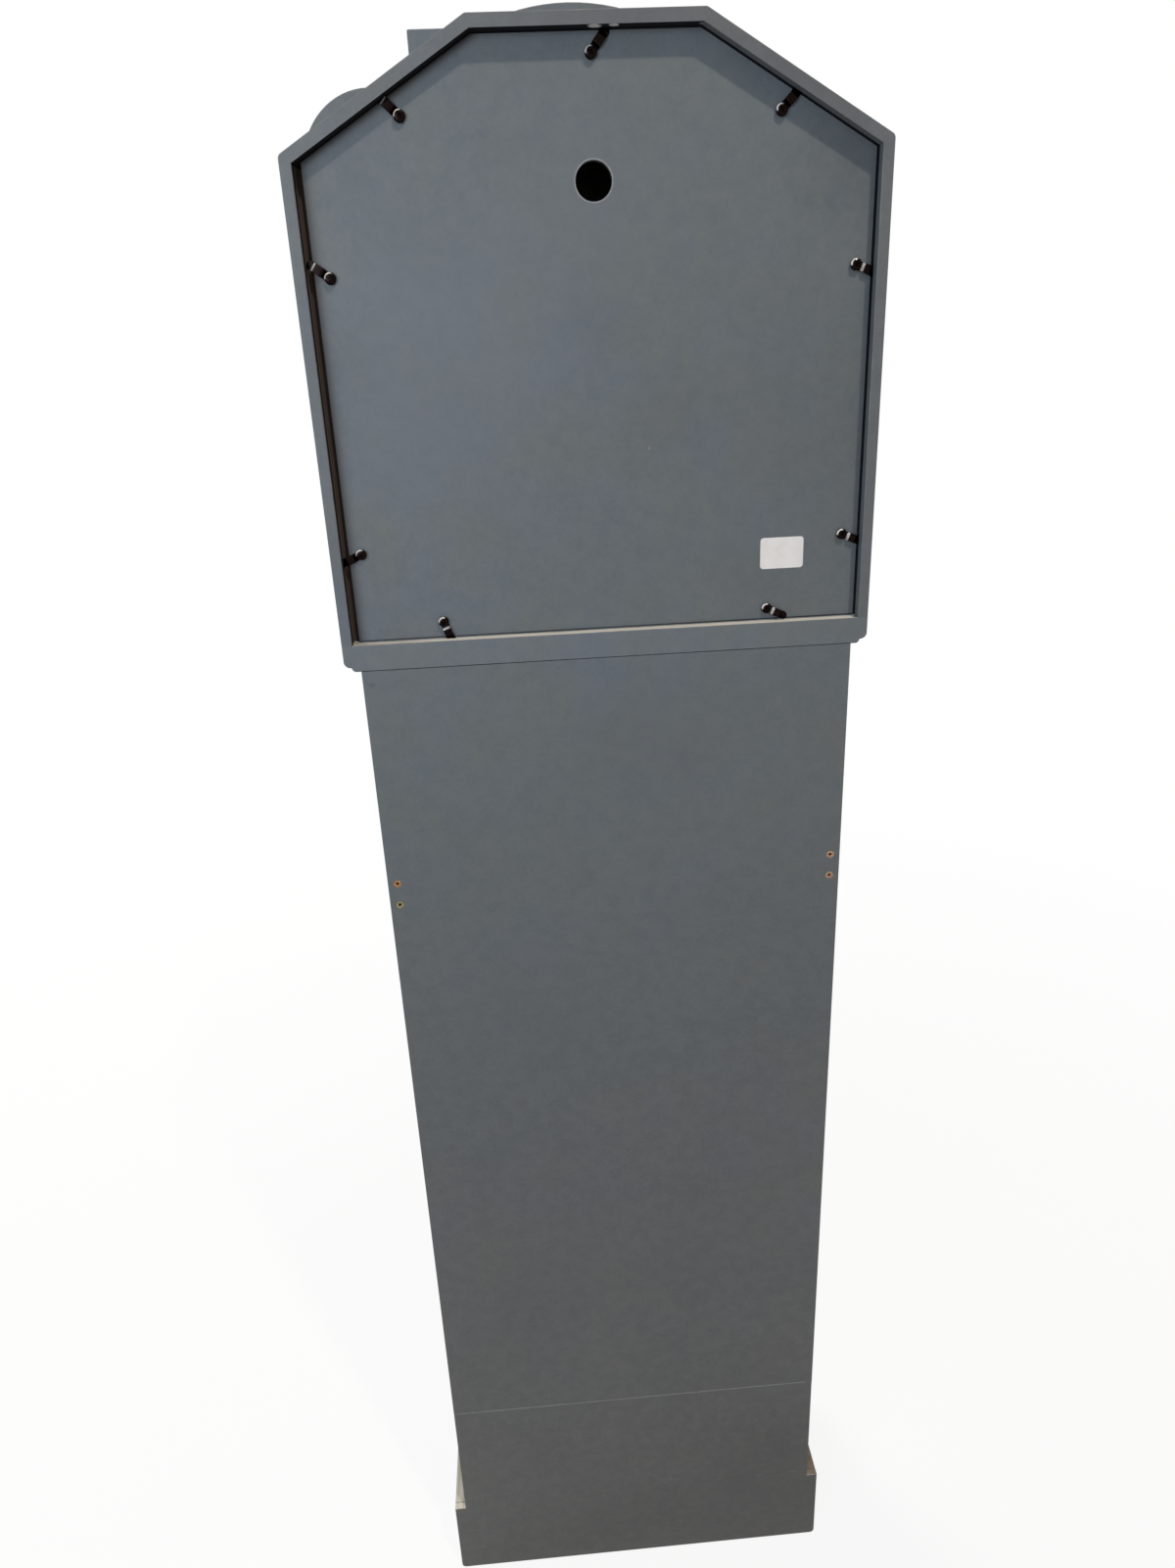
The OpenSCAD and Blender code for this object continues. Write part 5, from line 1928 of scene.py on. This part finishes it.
@dataclass(frozen=True)
class Plinth:
    """The plinth: mitred sides and front, and the notched back board."""

    ledge_z: float = 120.0
    notch_x: float = 230.0

    def build(self) -> None:
        """Builds the four boards, whose side ledges are bare wood."""
        front = "plinth_front_board"
        # The same bare wood is drawn in two copies: pale with painted light on plinth_side_right,
        # brown with painted shade on plinth_side_left.
        for side, wood in (("right", LIT_LEDGE_FOOT), ("left", SHADED_LEDGE_FOOT)):
            ledge = Zone(wood, lambda c, n: n.z > 0.6)
            eased_board(f"plinth_side_{side}", CARCASE_PAINT, flush_with=(front,), zones=[ledge])
        sides = ("plinth_side_left", "plinth_side_right")
        eased_board(front, CARCASE_PAINT, flush_with=sides, ease=Ease(1.2, from_angle=40))
        eased_board(
            "plinth_back_board",
            TRUNK_PAINT,
            ease=Ease(0.7, from_angle=40),
            zones=[
                # The notches are the same bare wood, drawn pale with painted light, and brown with
                # painted shade at negative x.
                Zone(LIT_LEDGE_FOOT, self.in_notch),
                Zone(SHADED_LEDGE_FOOT, lambda c, n: self.in_notch(c, n) and c.x < 0 and n.z > 0.9),
            ],
        )
        self.nibs()

    def in_notch(self, centre: Vector, normal: Vector) -> bool:
        """Whether a face of the back board is on the bare floor of a notch."""
        level = (self.ledge_z - 1) * MM < centre.z < (self.ledge_z + 1) * MM
        return normal.z > 0.3 and level and abs(centre.x) > self.notch_x * MM

    def nibs(self) -> None:
        """Builds the few grains of dirt caught in the paint at the foot of the back."""
        chance = random.Random(3)
        spots = [(-47, 138.6, 0.8), (167, 50, 0.9), (-120, 92, 0.5), (60, 70, 0.45), (10, 105, 0.5)]
        spots += [(chance.uniform(-220, 220), chance.uniform(20, 118), 0.4) for _ in range(8)]
        mesh = bmesh.new()
        section = [(0.0, -0.1), (1.0, -0.1), (1.0, 0.0), (0.8, 0.14), (0.45, 0.22), (0.0, 0.25)]
        for x, z, r in spots:
            lathe(mesh, [(r * share, up) for share, up in section], out_of_back(x, 0, z), 12)
        piece_from("paint_nibs", mesh, FILLER)


# The studio


@dataclass(frozen=True)
class Lamp:
    """A soft square lamp, which flat glass mirrors unless its glint is off."""

    name: str
    at: tuple[float, float, float]
    aim: tuple[float, float, float]
    size: float
    watts: float
    colour: str
    glint: bool = True


@dataclass(frozen=True)
class Studio:
    """The camera at the photograph's place, the lamps, the pale floor and the white surround."""

    camera_at: tuple[float, float, float] = (0.0781, 1.1107, 1.5574)
    forward: tuple[float, float, float] = (-0.0496, -0.9269, -0.3720)
    rightward: tuple[float, float, float] = (-0.9967, 0.0698, -0.0410)
    lens: float = 32.4
    sensor: float = 36.0
    world_strength: float = 0.14
    world_colour: str = "#e6edf8"
    floor_half: float = 9.0
    floor_drop: float = 0.0003
    floor_near: float = 0.7
    floor_far: float = 2.6
    floor_glow: float = 0.88
    floor_grey: str = "#a49f99"
    floor_white: str = "#f2f2f2"
    lamps: tuple[Lamp, ...] = (
        Lamp("key_lamp", (-1.03, 2.13, 4.71), (0.0, 0.12, 1.50), 0.2, 80.0, "#ffeede"),
        Lamp("sky_lamp", (0.95, 1.75, 1.80), (0.1, 0.1, 1.30), 1.0, 18.8, "#dbe7fa"),
        Lamp("low_warm_lamp", (-0.6, 2.4, 0.7), (0.0, 0.1, 0.3), 1.0, 1.8, "#ffdcc0"),
        Lamp("front_lamp", (1.7, -2.6, 2.7), (0.0, 0.0, 1.0), 1.4, 105.0, "#fff7ef", glint=False),
    )

    def build(self) -> None:
        """Sets the camera, the lamps, the floor and the surround."""
        self.camera()
        for lamp in self.lamps:
            self.lamp(lamp)
        self.surround()
        self.floor()
        bpy.context.scene.view_settings.view_transform = "Standard"

    def camera(self) -> None:
        """Places the camera."""
        right = Vector(self.rightward).normalized()
        back = -Vector(self.forward).normalized()
        up = back.cross(right).normalized()
        right = up.cross(back)
        data = bpy.data.cameras.new("photograph_view")
        data.sensor_fit = "HORIZONTAL"
        data.sensor_width = self.sensor
        data.lens = self.lens
        camera = add_object("photograph_view", data)
        turned = Matrix((right, up, back)).transposed().to_4x4()
        camera.matrix_world = Matrix.Translation(Vector(self.camera_at)) @ turned
        bpy.context.scene.camera = camera

    def lamp(self, lamp: Lamp) -> None:
        """Places one lamp.

        Args:
            lamp: Its place, aim, size, power and colour.
        """
        data = bpy.data.lights.new(lamp.name, "AREA")
        data.shape = "SQUARE"
        data.size = lamp.size
        data.energy = lamp.watts
        data.color = linear(lamp.colour)[:3]
        placed = add_object(lamp.name, data)
        placed.visible_glossy = lamp.glint
        aim = Vector(lamp.aim) - Vector(lamp.at)
        turned = aim.to_track_quat("-Z", "Y").to_matrix().to_4x4()
        placed.matrix_world = Matrix.Translation(Vector(lamp.at)) @ turned

    @staticmethod
    def seen_directly(tree: Tree) -> Socket:
        """Tells rays from the camera, off gloss or through glass from the light on the object.

        Args:
            tree: The node tree that asks.

        Returns:
            One for such rays, and nought for other light.
        """
        rays = add_node(tree, "ShaderNodeLightPath").outputs
        seen = rays["Is Camera Ray"]
        for kind in ("Is Glossy Ray", "Is Transmission Ray"):
            inputs = (seen, rays[kind])
            seen = add_node(tree, "ShaderNodeMath", inputs, operation="MAXIMUM").outputs[0]
        return seen

    def surround(self) -> None:
        """Makes the world a plain light, which is white where it is seen."""
        world = bpy.data.worlds.new("plain_white_surround")
        world.use_nodes = True
        tree = world.node_tree
        tree.nodes.clear()
        dim = {"Color": linear(self.world_colour), "Strength": self.world_strength}
        light = add_node(tree, "ShaderNodeBackground", dim)
        white = add_node(tree, "ShaderNodeBackground", {"Color": (1, 1, 1, 1), "Strength": 1.0})
        inputs = (self.seen_directly(tree), light.outputs[0], white.outputs[0])
        chosen = add_node(tree, "ShaderNodeMixShader", inputs)
        add_node(tree, "ShaderNodeOutputWorld", {"Surface": chosen.outputs[0]})
        bpy.context.scene.world = world

    def floor(self) -> None:
        """Lays a pale floor that shows nearly white and keeps the cabinet's shadow."""
        material = bpy.data.materials.new("pale_floor")
        material.use_nodes = True
        tree = material.node_tree
        tree.nodes.clear()
        seen = self.seen_directly(tree)
        floor_paint = Painter(tree, add_node(tree, "ShaderNodeTexCoord").outputs["Object"])
        # Seen from the camera it is white paper. For the light that it sends up, it is greyer.
        tone = floor_paint.layer(linear(self.floor_grey), self.floor_white, seen)
        matt = add_node(tree, "ShaderNodeBsdfDiffuse", {"Color": tone})
        white = add_node(tree, "ShaderNodeEmission", {"Color": (1, 1, 1, 1), "Strength": 1.0})
        coords = (floor_paint.coords,)
        away = add_node(tree, "ShaderNodeVectorMath", coords, operation="LENGTH").outputs["Value"]
        inputs = (away, self.floor_near, self.floor_far, self.floor_glow, 1.0)
        paler = add_node(tree, "ShaderNodeMapRange", inputs).outputs[0]
        share = add_node(tree, "ShaderNodeMath", (seen, paler), operation="MULTIPLY")
        inputs = (share.outputs[0], matt.outputs[0], white.outputs[0])
        shown = add_node(tree, "ShaderNodeMixShader", inputs)
        add_node(tree, "ShaderNodeOutputMaterial", {"Surface": shown.outputs[0]})
        mesh = bmesh.new()
        bmesh.ops.create_grid(mesh, x_segments=8, y_segments=8, size=self.floor_half)
        data = bpy.data.meshes.new("pale_floor")
        mesh.to_mesh(data)
        mesh.free()
        data.materials.append(material)
        floor = add_object("pale_floor", data)
        floor.location.z = -self.floor_drop


def main() -> None:
    """Builds the cabinet from the hood down, then the studio round it."""
    logging.basicConfig(level=logging.INFO, format="%(name)s: %(message)s")
    Studio().build()
    hood = (HoodShell(), HoodBack(), TurnButtons(), HoodFront(), Dial())
    for assembly in (*hood, Trunk(), Door(), Ironwork(), Plinth()):
        log.info("building %s", type(assembly).__name__)
        assembly.build()


if __name__ == "__main__":
    main()
